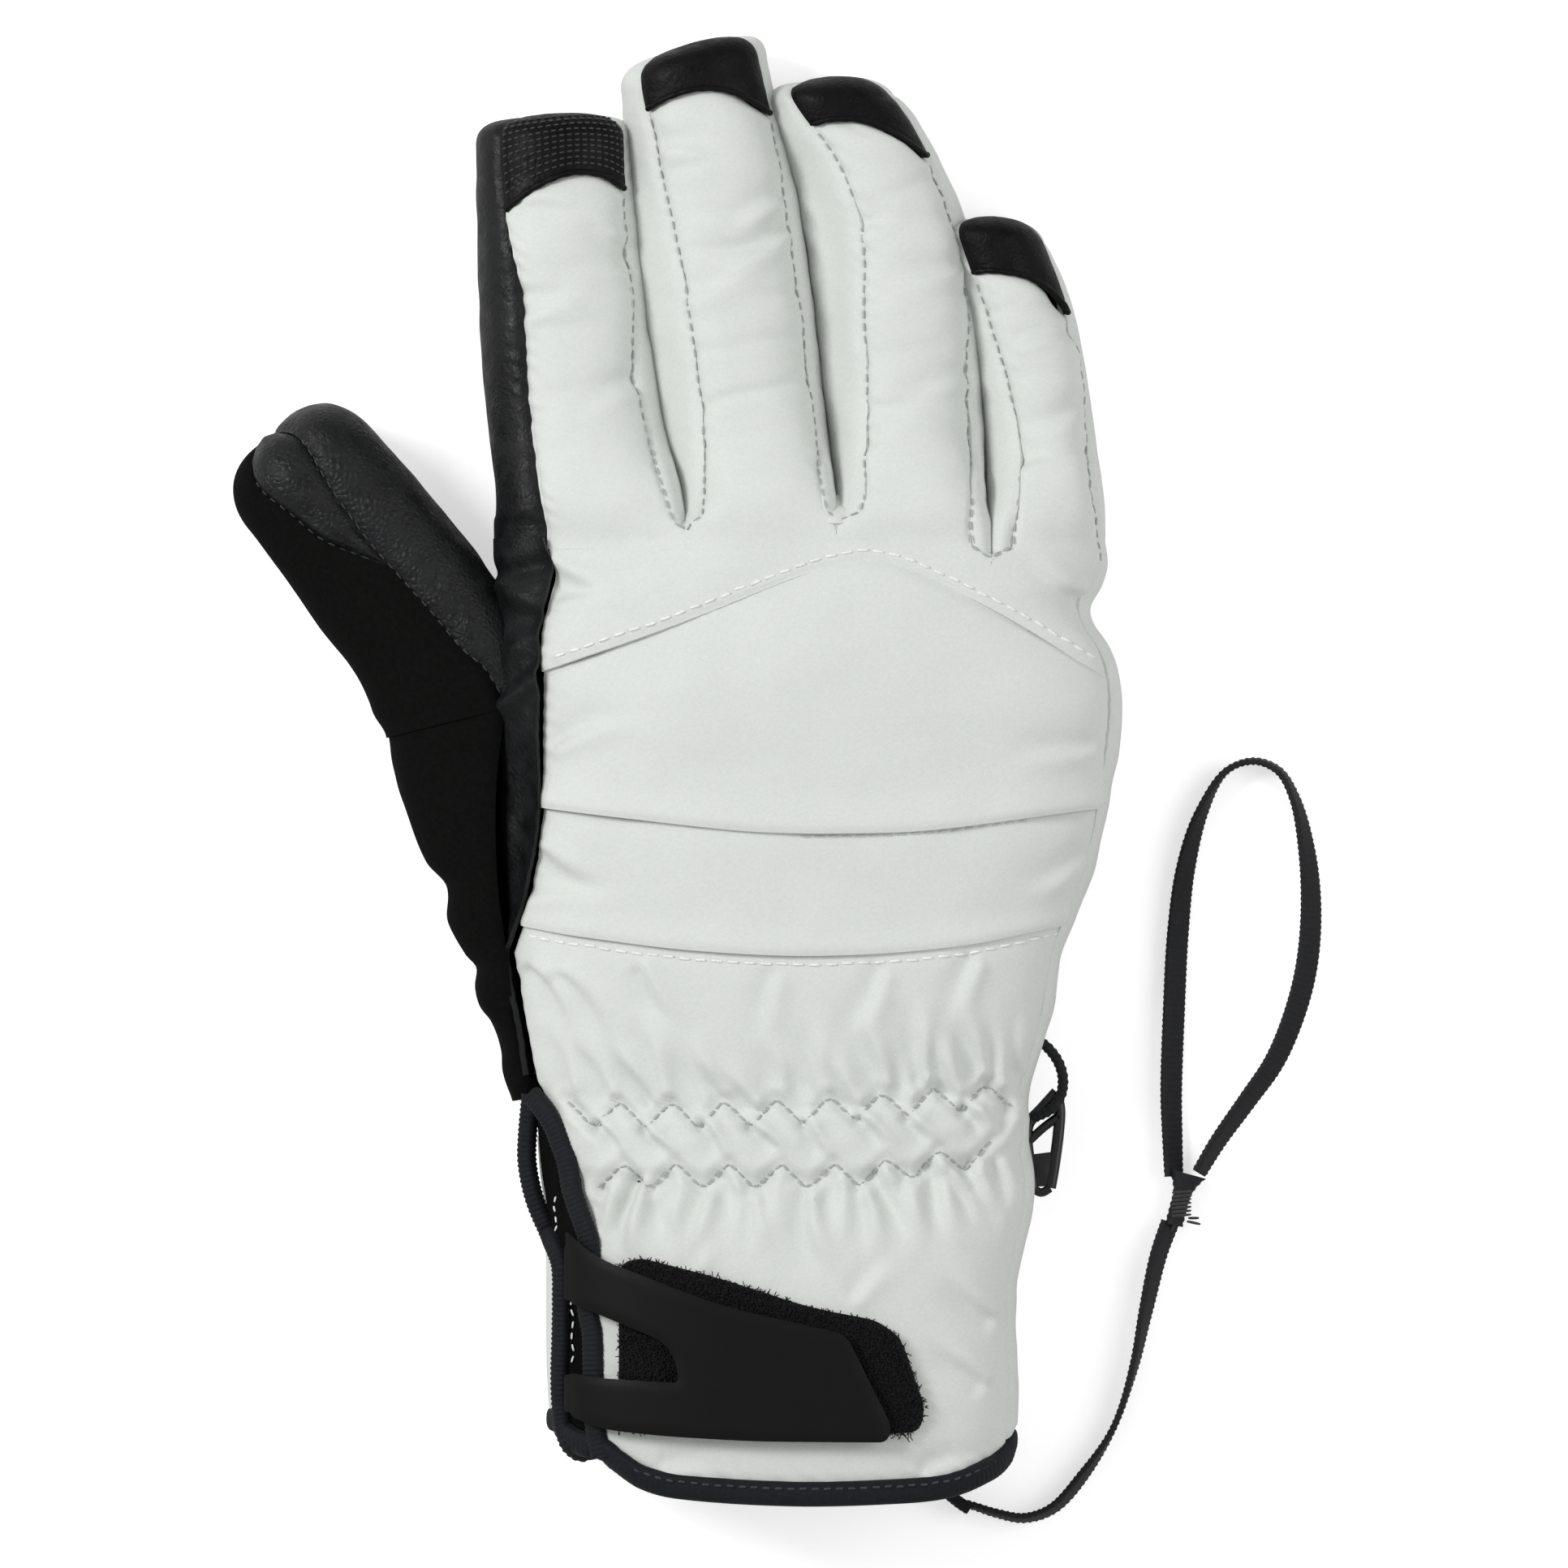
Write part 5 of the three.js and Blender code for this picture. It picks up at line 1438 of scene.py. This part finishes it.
def simulate_cloth(points, pinned, grow, growth, push, frames, limit):
    """Lets a pinned sheet that is cut a little too large buckle into folds; moves are capped at the limit."""
    rows, columns = points.shape[:2]
    mesh = bpy.data.meshes.new("cloth_trial")
    mesh.from_pydata((points.reshape(-1, 3) * SIM_SCALE).tolist(), [], grid_faces(rows, columns).tolist())
    trial = bpy.data.objects.new("cloth_trial", mesh)
    bpy.context.scene.collection.objects.link(trial)
    for name, weights in (("pin", pinned.ravel()), ("grow", grow.ravel())):
        group = trial.vertex_groups.new(name=name)
        for level in np.unique(np.round(weights, 1)):
            chosen = np.flatnonzero(np.round(weights, 1) == level)
            if level > 0:
                group.add(chosen.tolist(), float(level), "REPLACE")
    cloth = trial.modifiers.new("cloth", "CLOTH")
    s = cloth.settings
    s.quality, s.mass, s.air_damping = 7, 0.12, 4.0
    s.tension_stiffness = s.compression_stiffness = 40
    s.shear_stiffness, s.bending_stiffness = 20, 0.25
    s.vertex_group_mass = "pin"
    s.vertex_group_shrink = "grow"
    s.shrink_min, s.shrink_max = 0.0, -growth
    s.use_pressure, s.uniform_pressure_force = True, push
    s.effector_weights.gravity = 0
    cloth.collision_settings.use_collision = False
    cloth.collision_settings.use_self_collision = False
    scene = bpy.context.scene
    cloth.point_cache.frame_start, cloth.point_cache.frame_end = 1, frames
    for frame_number in range(1, frames + 1):
        scene.frame_set(frame_number)
    evaluated = trial.evaluated_get(bpy.context.evaluated_depsgraph_get())
    moved = np.empty(rows * columns * 3)
    evaluated.data.vertices.foreach_get("co", moved)
    moved = moved.reshape(rows, columns, 3) / SIM_SCALE
    scene.frame_set(1)
    bpy.data.objects.remove(trial)
    bpy.data.meshes.remove(mesh)
    shift = moved - points
    size = np.linalg.norm(shift, axis=-1, keepdims=True)
    return points + shift * np.minimum(1, limit / np.maximum(size, 1e-9))


FOLDS = [  # where each starts, where it runs out, and how deep it is
    ((-47.5, -61.5), (-53.5, -49), 0.8), ((-40.6, -62.8), (-50.5, -48), 0.7),
    ((-33.2, -64.2), (-41.5, -50), 1.2),
    ((-29.6, -62.2), (-37.5, -46), 0.9), ((-22.5, -63.5), (-30, -54), 0.6), ((-19.5, -62.6), (-26, -50), 0.9),
    ((-13.6, -65), (-19.8, -55.5), 1.0), ((-9.0, -62), (-12, -51), 0.6), ((-2.8, -64.8), (-7.5, -54), 0.7),
    ((1.2, -61.5), (-4.5, -47), 0.8), ((6.8, -64), (0.2, -53), 1.1), ((10.6, -60.6), (6, -44), 0.9),
    ((15.8, -63), (12.5, -52), 0.7), ((20.2, -59.6), (14.8, -43), 1.1), ((25.6, -61.6), (20.5, -49), 1.1),
    ((29.2, -58.6), (25, -44), 1.0), ((33.8, -60.5), (30.5, -46), 0.9), ((38.2, -58), (36.4, -45), 0.7),
    ((-41.0, -79.8), (-42.5, -88), 0.9), ((-35.4, -77.6), (-38.2, -93), 1.9),
    ((-31.8, -79.6), (-31.6, -90), 0.7),
    ((-27.4, -77.4), (-30, -92), 0.8), ((-22.6, -80.2), (-26.2, -95), 1.0), ((-18.4, -77), (-17.5, -90), 0.8),
    ((-13.2, -80.4), (-14.8, -92), 0.9), ((-8.6, -76.8), (-11, -88), 0.6), ((-3.4, -80.6), (-0.4, -97), 1.0),
    ((1.6, -76.6), (3.4, -89), 0.8), ((6.6, -79.4), (8.8, -93), 0.9), ((11.4, -76), (15.6, -92), 1.0),
    ((16.2, -78.2), (18.6, -90), 0.8), ((20.4, -75), (25.2, -92), 1.1), ((24.6, -76.6), (28.8, -89), 0.8),
    ((29.2, -74), (33.2, -90), 1.0), ((32.6, -75), (36.4, -87), 0.8),
]
FOLD_DEPTH = 1.5
FOLD_WIDTH = 1.25


def gathers(x, y, stitched):
    """What the two elastics do to the fabric: long folds beyond them and small pillows between them."""
    lift = np.zeros_like(x)
    for start, end, depth in FOLDS:
        lift = lift + groove(x, y, start, end, FOLD_DEPTH * depth, FOLD_WIDTH)
    upper_low = zigzags["upper"][1::2]
    lower_high = zigzags["lower"][1::2]
    for k, (ax, ay) in enumerate(upper_low):
        bx, by = lower_high[int(np.argmin(np.abs(lower_high[:, 0] - ax - 5.5)))]
        lift = lift + groove(x, y, (ax, ay + 0.5), (bx, by), 1.6 + 0.5 * math.sin(3.1 * k), 0.95)
    between = smoothstep((upper_zigzag(x) - y + 1) / 3) * smoothstep((y - lower_zigzag(x) + 1) / 3)
    lift = lift + 0.9 * between
    return lift - 0.75 * np.exp(-((stitched / 1.0) ** 2)) + 0.35 * np.exp(-(((stitched - 2.0) / 1.1) ** 2))


def make_gauntlet():
    """One gathered piece from the lower pleat to the hem."""
    left_x = lambda y: np.where(y < SLIT_TOP, near_slit_x(y), left_seam(y))
    points = back_grid(lambda x: hem_line(x) + ABOVE_HEM, lambda x: lower_pleat(x) + 2.2, 170, 0.75, left_x)
    sheet = Panel(points, puff=0.5, reach=5, roll=0.6, roll_reach=1.0, seams=("left", "right", "start"))
    x, y = points[..., 0], points[..., 1]
    sheet.lift = sheet.lift - 0.8 * np.exp(-((sheet.distance["end"] / 4.5) ** 2))
    sunk = wrist_sink(y, x)
    sheet.lift = sheet.lift - 1.1 * sunk
    stitched = np.minimum(near_polyline(x, y, zigzags["upper"]), near_polyline(x, y, zigzags["lower"]))
    sheet.lift = sheet.lift + gathers(x, y, stitched)
    start = points + sheet.normal * sheet.lift[..., None]
    border = np.zeros_like(x)
    border[:2] = border[-2:] = border[:, :2] = border[:, -2:] = 1
    pinned = np.maximum(border, (stitched < 0.42) * 1.0)
    far = np.exp(-((np.maximum(np.abs(y + 70) - 8, 0) / 14) ** 2))
    folded = simulate_cloth(start, pinned, far, 0.12, 0.5, 10, 1.6)
    sheet.base, sheet.lift = folded, np.zeros_like(x)
    sheet.crease((5, 5, 5), 0.06, 8.0)
    sheet.lift = sheet.lift + pulls(points)
    sheet.make("gauntlet_back_fabric", "shell", None, ["wrist_back_panel", "cuff_back_panel"])
    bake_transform(sheet.object)
    return sheet


gauntlet = make_gauntlet()


def on_grid(panel, xs, ys, lift=0.2):
    """Places on a panel's outer side above plan points: the nearest grid point's height and slope."""
    p, n = panel.outer.reshape(-1, 3), panel.outer_normal.reshape(-1, 3)
    out = []
    for x, y in zip(xs, ys):
        i = int(np.argmin((p[:, 0] - x) ** 2 + (p[:, 1] - y) ** 2))
        q, m = p[i], n[i]
        z = q[2] - ((x - q[0]) * m[0] + (y - q[1]) * m[1]) / max(m[2], 0.3)
        out.append((x, y, z + lift))
    return np.array(out)


def make_zigzags():
    for name, corners in zigzags.items():
        dense = resample(corners, step=0.5)
        placed = on_grid(gauntlet, dense[:, 0], dense[:, 1], 0.32)
        row = stitch_line(f"{name}_elastic_zigzag", placed, 2.1, 0.78, 0.2, "grey_thread", None, wobble=0.06)
        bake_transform(row)


make_zigzags()


def make_topstitches():
    xs = np.linspace(-51, 53, 160)
    placed = on_grid(upper, xs, arch_seam(xs) + 1.9, 0.1)
    stitch_line("arch_topstitch", placed, 3.1, 0.74, 0.3, "white_thread", "hand")
    xs = np.linspace(-56, 47.5, 160)
    placed = on_grid(gauntlet, xs, lower_pleat(xs) - 1.7, 0.1)
    stitch_line("pleat_topstitch", placed, 3.1, 0.74, 0.3, "white_thread", "hand")
    xs = np.linspace(-4, 40, 80)
    placed = on_grid(pleat, xs, upper_pleat(xs) - 0.6, 0.05)
    stitch_line("pleat_edge_stitch", placed, 2.6, 0.7, 0.22, "pale_thread", "hand")


make_topstitches()


def cuff_grid(columns, low_angle, high_angle):
    """A grid of the gauntlet's surface from its mouth up to the wrist, from one angle to another."""
    t = np.linspace(0, 1, columns)
    start = np.full(columns, HEM_Y + 9.0)
    for _ in range(6):
        low = low_angle(start)
        start = hem_line(hand_surface(start, low + (high_angle - low) * t)[:, 0]) + ABOVE_HEM
    y = start + (WRIST_Y - start) * np.linspace(0, 1, 90)[:, None]
    low = low_angle(y)
    return hand_surface(y, low + (high_angle - low) * t)


def make_cuff_sides():
    wall = outer_wall(cuff_grid(26, lambda y: np.full_like(y, WALL_LOW), OUTER_SEAM - 0.1))
    wall.make("cuff_side_wall", "shell", "cuff", ["cuff_side_panel"])
    palm = Panel(cuff_grid(90, lambda y: hand_angle(far_slit_x(y), y) + 2.0, PALM_RIGHT), puff=0.5, reach=4,
                 roll=0.6, roll_reach=1.0, seams=SIDES)
    palm.crease((6, 9, 6), 0.3, 3.5)
    palm.make("cuff_palm_fabric", "shell", "cuff", ["cuff_palm_panel"])


make_cuff_sides()


def slit_line(x_of_y, ys, out, drop):
    """A line along the gauntlet's opening, moved sideways and down from the fabric's edge."""
    xs = x_of_y(ys)
    line = hand_surface(ys, hand_angle(xs, ys)) - [0, 0, drop]
    line[:, 0] = xs + out
    return line


def ribbed_binding(name, line, wide, thick, replaces, lean):
    """A folded grosgrain binding: a flattened tube with a rib every 0.9 mm."""
    line = resample(catmull(line, 12), step=0.3)
    rib = 1 + 0.11 * np.cos(np.arange(len(line)) * 2 * np.pi * 0.3 / 0.95)
    obj = tube(name, line, wide * (1 + (rib - 1) * 0.5), thick * rib, 20, "binding", "cuff", smooth=70,
               lean=lean, profile_power=2.6)
    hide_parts(*replaces)


def make_slit():
    """The opening's two bound edges and the black gusset that folds between them."""
    near = slit_line(near_slit_x, np.linspace(-131, SLIT_TOP, 24), -1.2, 0.2)
    ribbed_binding("slit_binding_near_edge", near, 2.0, 1.2, ["slit_binding_near"], lean=24)
    far = slit_line(far_slit_x, np.linspace(-128.8, SLIT_TOP, 24), 0.0, 0.6)
    hook = [(-43.5, -129.6, far[0, 2] - 1), (-45.6, -130.2, far[0, 2] - 0.5)]
    ribbed_binding("slit_binding_far_edge", np.vstack([hook, far]), 1.8, 1.5, ["slit_binding_far"], lean=35)
    ys = np.linspace(-129, -61.8, 100)
    a, b = hand_angle(near_slit_x(ys) - 0.6, ys), hand_angle(far_slit_x(ys) - 0.4, ys)
    t = np.linspace(0, 1, 26)[None, :]
    points = hand_surface(ys[:, None] + 0 * t, a[:, None] + (b - a)[:, None] * t, 1.5)
    gusset = plain_panel(points)
    gusset.lift = gusset.lift + (1.35 * t**2 - 0.7 * np.sin(np.pi * t)) * np.ones(points.shape[:2])
    gusset.crease((3, 9, 4), 0.4, 6.5)
    gusset.make("slit_gusset_fabric", "softshell", "cuff", ["slit_gusset"], thickness=0.8)
    for k, (low, high, x) in enumerate(((-90, -81, -50.6), (-113.5, -98, -47.2))):
        ys = np.linspace(low, high, 40)
        line = on_grid(gusset, np.full(40, x) + 0.4 * np.sin(ys), ys, 0.3)
        stitch_line(f"gusset_stitches_{k}", line, 2.2, 0.6, 0.22, "white_thread", "cuff")


make_slit()


def make_hem():
    """The binding round the gauntlet's mouth: a rolled, ribbed band."""
    angles = np.linspace(0, 360, 640, endpoint=False)
    x = hand_surface(np.full_like(angles, HEM_Y + 5.0), angles)[:, 0]
    for _ in range(4):
        y = hem_line(x) + 2.45
        ring = hand_surface(y, angles)
        x = ring[:, 0]
    out = ring - [PALM_AXIS_X, 0, 19.0]
    out[:, 1] = 0
    out /= np.linalg.norm(out, axis=1, keepdims=True)
    ahead = np.roll(ring, -1, 0) - np.roll(ring, 1, 0)
    ahead /= np.linalg.norm(ahead, axis=1, keepdims=True)
    down = np.cross(ahead, out)
    down /= np.linalg.norm(down, axis=1, keepdims=True)
    sides = 20
    turn = 2 * np.pi * np.arange(sides) / sides
    rib = 1 + 0.05 * np.cos(lengths_along(ring) * 2 * np.pi / 1.15)
    c, s = bulged(np.cos(turn), 0.75), bulged(np.sin(turn), 0.75)
    points = (
        ring[:, None, :] - out[:, None, :] * 0.6
        + out[:, None, :] * (1.7 * c[None, :] * rib[:, None])[..., None]
        + down[:, None, :] * (2.4 * s[None, :] * np.ones((len(ring), 1)))[..., None]
    )
    points[..., 2] = np.maximum(points[..., 2], 0.02)
    count = len(angles)
    faces = []
    for i in range(count):
        for j in range(sides):
            n, m = (i + 1) % count, (j + 1) % sides
            faces.append((i * sides + j, i * sides + m, n * sides + m, n * sides + j))
    obj = add_object("hem_binding_band", points.reshape(-1, 3), faces, "binding", "cuff", smooth=70)
    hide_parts("hem_binding")
    xs = np.linspace(-36, 34, 90)
    ys = hem_line(xs) + 3.5
    line = hand_surface(ys, hand_angle(xs, ys)) + [0, 0, 1.15]
    stitch_line("hem_stitches", line, 2.3, 0.62, 0.2, "black_thread", "cuff", wobble=0.08)


make_hem()

# ---- Strap, pile patch and clip --------------------------------------------------------------------
STRAP_LOW = HEM_Y + 12.5
STRAP_HIGH = STRAP_LOW + 34


def back_height(x, y):
    """Height of the gauntlet's plain surface above a place in plan."""
    return hand_surface(y, hand_angle(x, y))[..., 2]


def plate_from_outline(name, outline, lift, thick, look, body, step, soften=0.35, replaces=(), wave=0.0):
    """An even sheet over a plan outline, laid on the gauntlet, with rounded edges."""
    bm = bmesh.new()
    ring = [bm.verts.new((x, y, 0)) for x, y in outline]
    bm.faces.new(ring)
    lo, hi = np.min(outline, 0), np.max(outline, 0)
    for axis in (0, 1):
        for at in np.arange(lo[axis] + step / 2, hi[axis], step):
            place, normal = Vector(), Vector()
            place[axis], normal[axis] = at, 1.0
            bmesh.ops.bisect_plane(bm, geom=bm.verts[:] + bm.edges[:] + bm.faces[:], plane_co=place,
                                   plane_no=normal)
    bmesh.ops.remove_doubles(bm, verts=bm.verts, dist=0.02)
    bm.verts.ensure_lookup_table()
    flat = np.array([v.co[:] for v in bm.verts])
    bm.verts.index_update()
    faces = [[v.index for v in f.verts] for f in bm.faces]
    rim_edges = [(e.verts[0].index, e.verts[1].index) for e in bm.edges if e.is_boundary]
    bm.free()
    edge_points = flat[sorted({i for pair in rim_edges for i in pair})]
    near = np.min(np.linalg.norm(flat[:, None, :2] - edge_points[None, :, :2], axis=-1), axis=1)
    x, y = flat[:, 0], flat[:, 1]
    z = back_height(x, y) + lift + wave * noise(flat, 14.0, 3.0)
    drop = soften * np.exp(-((near / 0.8) ** 2))
    top = np.stack([x, y, z + thick - drop], -1)
    bottom = np.stack([x, y, z + drop * 0.5], -1)
    count = len(flat)
    all_faces = [list(f) for f in faces] + [[i + count for i in reversed(f)] for f in faces]
    directed = {(f[k], f[(k + 1) % len(f)]) for f in faces for k in range(len(f))}
    for a, b in rim_edges:
        if (a, b) not in directed:
            a, b = b, a
        all_faces.append([b, a, a + count, b + count])
    if sum(np.cross(flat[f[1]] - flat[f[0]], flat[f[2]] - flat[f[1]])[2] for f in faces) < 0:
        all_faces = [f[::-1] for f in all_faces]
    obj = add_object(name, np.vstack([top, bottom]), all_faces, look, body, smooth=35.0)
    if replaces:
        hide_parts(*replaces)


def rounded(corners, radii, steps=6):
    """A plan outline with each corner rounded by its own radius."""
    out = []
    n = len(corners)
    for k, corner in enumerate(corners):
        r = radii[k] if np.ndim(radii) else radii
        p = np.array(corner, float)
        a = np.array(corners[k - 1], float) - p
        b = np.array(corners[(k + 1) % n], float) - p
        cut = min(r, np.linalg.norm(a) / 2.1, np.linalg.norm(b) / 2.1)
        start, end = p + a / np.linalg.norm(a) * cut, p + b / np.linalg.norm(b) * cut
        for t in np.linspace(0, 1, steps):
            out.append(tuple((1 - t) ** 2 * start + 2 * t * (1 - t) * p + t * t * end))
    return out


def make_strap():
    patch = rounded([
        (-38.3, STRAP_LOW + 1.5), (-38.3, STRAP_HIGH - 1.2), (-34.5, STRAP_HIGH + 0.3), (-19.7, -96.4),
        (-1.5, -102.3),
        (10.9, -104.6), (14.9, -107.6), (16.4, -110.5), (20.1, -121.6), (19, -126), (13, -126.2),
    ], [2, 2, 2.5, 6, 6, 3, 3, 4, 4, 2.5, 2])
    plate_from_outline("pile_patch", patch, 0.5, 1.5, "pile", "cuff", step=1.1, soften=0.5,
                       replaces=["loop_patch"], wave=0.15)
    pad = rounded([(-26, STRAP_LOW + 3), (-26, STRAP_HIGH - 13), (2, STRAP_HIGH - 20), (7, STRAP_LOW + 4),
                   (5, STRAP_LOW + 2)], 2)
    plate_from_outline("strap_hooks", pad, 2.5, 0.9, "pile", "strap", step=2.5, replaces=["strap_hook_pad"])
    outline = rounded([
        (-48.6, -87.6), (-42.7, -92.7), (-35, -95.6), (-19.6, -101.6), (5.0, -107.2), (13.6, -124.6),
        (12.9, -127.8),
        (-12.3, -127.6), (-30.6, -126.6), (-41.6, -125.4), (-47.8, -123), (-47.8, -114.8), (-41.9, -115.7),
        (-26.8, -116.5), (-27.6, -111.5), (-30.4, -108.3), (-42.3, -103.5), (-47.8, -101.4),
    ], [1, 5, 5, 6, 2.2, 1.2, 1.8, 6, 6, 4, 1.5, 1, 2, 1.2, 2.5, 2.5, 5, 1])
    for name, low, high, nodes in (("upper", -101.0, -90.4, ["strap_anchor"]), ("lower", -122.4, -115.2, [])):
        tab = rounded([(-48.8, low), (-48.8, high), (-46.6, high), (-45.2, high - 1.6), (-45.2, low)], 0.8)
        plate_from_outline(f"strap_sewn_root_{name}", tab, 1.9, 1.0, "strap", "cuff", step=1.2, soften=0.2,
                           replaces=nodes)
    plate_from_outline("strap_tab_sheet", outline, 3.6, 1.1, "strap", "strap", step=0.9, soften=0.3,
                       replaces=["strap_tab"])


make_strap()


FIBRES = 15000  # tried; those beyond the patch's edges are left out
FIBRE_POINTS = 12
FIBRE_FACES = 11


def make_pile():
    """The patch's fuzz: small bent fibres standing all over it, a third of them in a lighter material as
    painted glints.
    """
    draw = np.random.RandomState(5)
    points, faces = [], []
    for _ in range(FIBRES):
        x, y = draw.uniform(-38.3, 20.3), draw.uniform(STRAP_LOW - 0.2, STRAP_HIGH)
        upper_edge = np.interp(x, [-38, -34.5, -19.7, -1.5, 10.9, 15, 16.6, 20.3],
                               [-94.2, -92.9, -96.6, -102.5, -105, -108, -111, -121.6])
        lower_edge = np.interp(x, [-38, 12, 17, 20], [STRAP_LOW + 1.4, -126.4, -126.8, -122.5])
        if not lower_edge - 0.3 < y < upper_edge + 0.3:
            continue
        z = float(back_height(np.array(x), np.array(y))) + 1.9
        turn, reach, tall = draw.uniform(0, 2 * math.pi), draw.uniform(0.5, 1.1), draw.uniform(0.25, 0.8)
        across = np.array([math.cos(turn), math.sin(turn), 0])
        base = np.array([x, y, z])
        line = [base, base + across * reach * 0.25 + [0, 0, tall * 0.8],
                base + across * reach * 0.7 + [0, 0, tall], base + across * reach + [0, 0, tall * 0.3]]
        side = np.array([-across[1], across[0], 0]) * 0.09
        first = len(points)
        for p in line:
            points.extend([p - side, p + side, p + [0, 0, 0.11]])
        for r in range(3):
            a = first + r * 3
            for j in range(3):
                n = (j + 1) % 3
                faces.append((a + j, a + n, a + 3 + n, a + 3 + j))
        faces.append((first, first + 2, first + 1))
        faces.append((first + 9, first + 10, first + 11))
    # painted highlight: a third of the fibres take the lighter binding material to stand for glints on the
    # pile
    glint_fibres = len(points) // FIBRE_POINTS // 3
    share, cut = glint_fibres * FIBRE_POINTS, glint_fibres * FIBRE_FACES
    add_object("pile_fuzz_painted_glints", points[:share], faces[:cut], "binding", "cuff", smooth=0)
    rest = [tuple(i - share for i in face) for face in faces[cut:]]
    add_object("pile_fuzz_dark", points[share:], rest, "pile", "cuff", smooth=0)


make_pile()


def make_clip():
    """The glove clip: an open moulded frame on a braided loop."""
    z = (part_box("clip")[0][2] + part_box("clip")[1][2]) / 2 / MM
    bars = [
        [(45.5, -61.6), (46.1, -65), (45.9, -69), (45.0, -76), (44.3, -80.0)],
        [(45.5, -61.6), (42.8, -64.6), (40.2, -67.6), (39.8, -70), (40.3, -75), (41.0, -80.2)],
        [(40.0, -71.2), (42.8, -68.6), (45.9, -66.2)],
        [(41.0, -80.2), (42.6, -80.9), (44.3, -80.0)],
    ]
    points, faces = [], []
    for k, bar in enumerate(bars):
        line = resample(catmull([(x, y, z) for x, y in bar]), step=0.4)
        rings = tube_points(line, 0.85 + 0.25 * (k < 2), 1.3, 14, profile_power=3.0)
        faces += [tuple(i + len(points) for i in face) for face in tube_faces(len(rings), 14)]
        points += list(rings.reshape(-1, 3))
    body = [(40.6, -73.6), (45.3, -73.0), (44.6, -79.6), (41.2, -79.8)]
    rows = []
    for t in np.linspace(0, 1, 16):
        low = np.array(body[0]) * (1 - t) + np.array(body[3]) * t
        high = np.array(body[1]) * (1 - t) + np.array(body[2]) * t
        rows.append([low + (high - low) * s for s in np.linspace(0, 1, 10)])
    grid = np.array(rows)
    crown = 0.9 + 0.25 * np.sin(np.pi * np.linspace(0, 1, 16))[:,
            None] * np.sin(np.pi * np.linspace(0, 1, 10))[None, :]
    top = np.dstack([grid, z + crown])
    bottom = np.dstack([grid, z - crown])
    p, f = thick_sheet(top, bottom)
    faces += [tuple(i + len(points) for i in face) for face in f]
    points += list(p)
    clip = add_object("clip_moulding", points, faces, "plastic", "clip", smooth=50)
    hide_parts("clip")
    route = [
        (41.0, -51.2, z), (43.6, -52.9, z + 0.6), (45.8, -55.8, z + 0.9), (46.7, -59, z + 1),
        (46.2, -62.4, z + 2.2),
        (44.6, -64.7, z + 2.4), (41.8, -66.2, z + 1), (39.4, -67, z - 0.6),
    ]
    line = resample(catmull(route), step=0.3)
    braid = 1.0 * (1 + 0.1 * np.cos(np.arange(len(line)) * 2 * np.pi / 4))
    cord = tube("clip_loop_cord", line, braid, braid, 14, "tape", "clip", smooth=70)
    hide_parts("clip_cord")


make_clip()
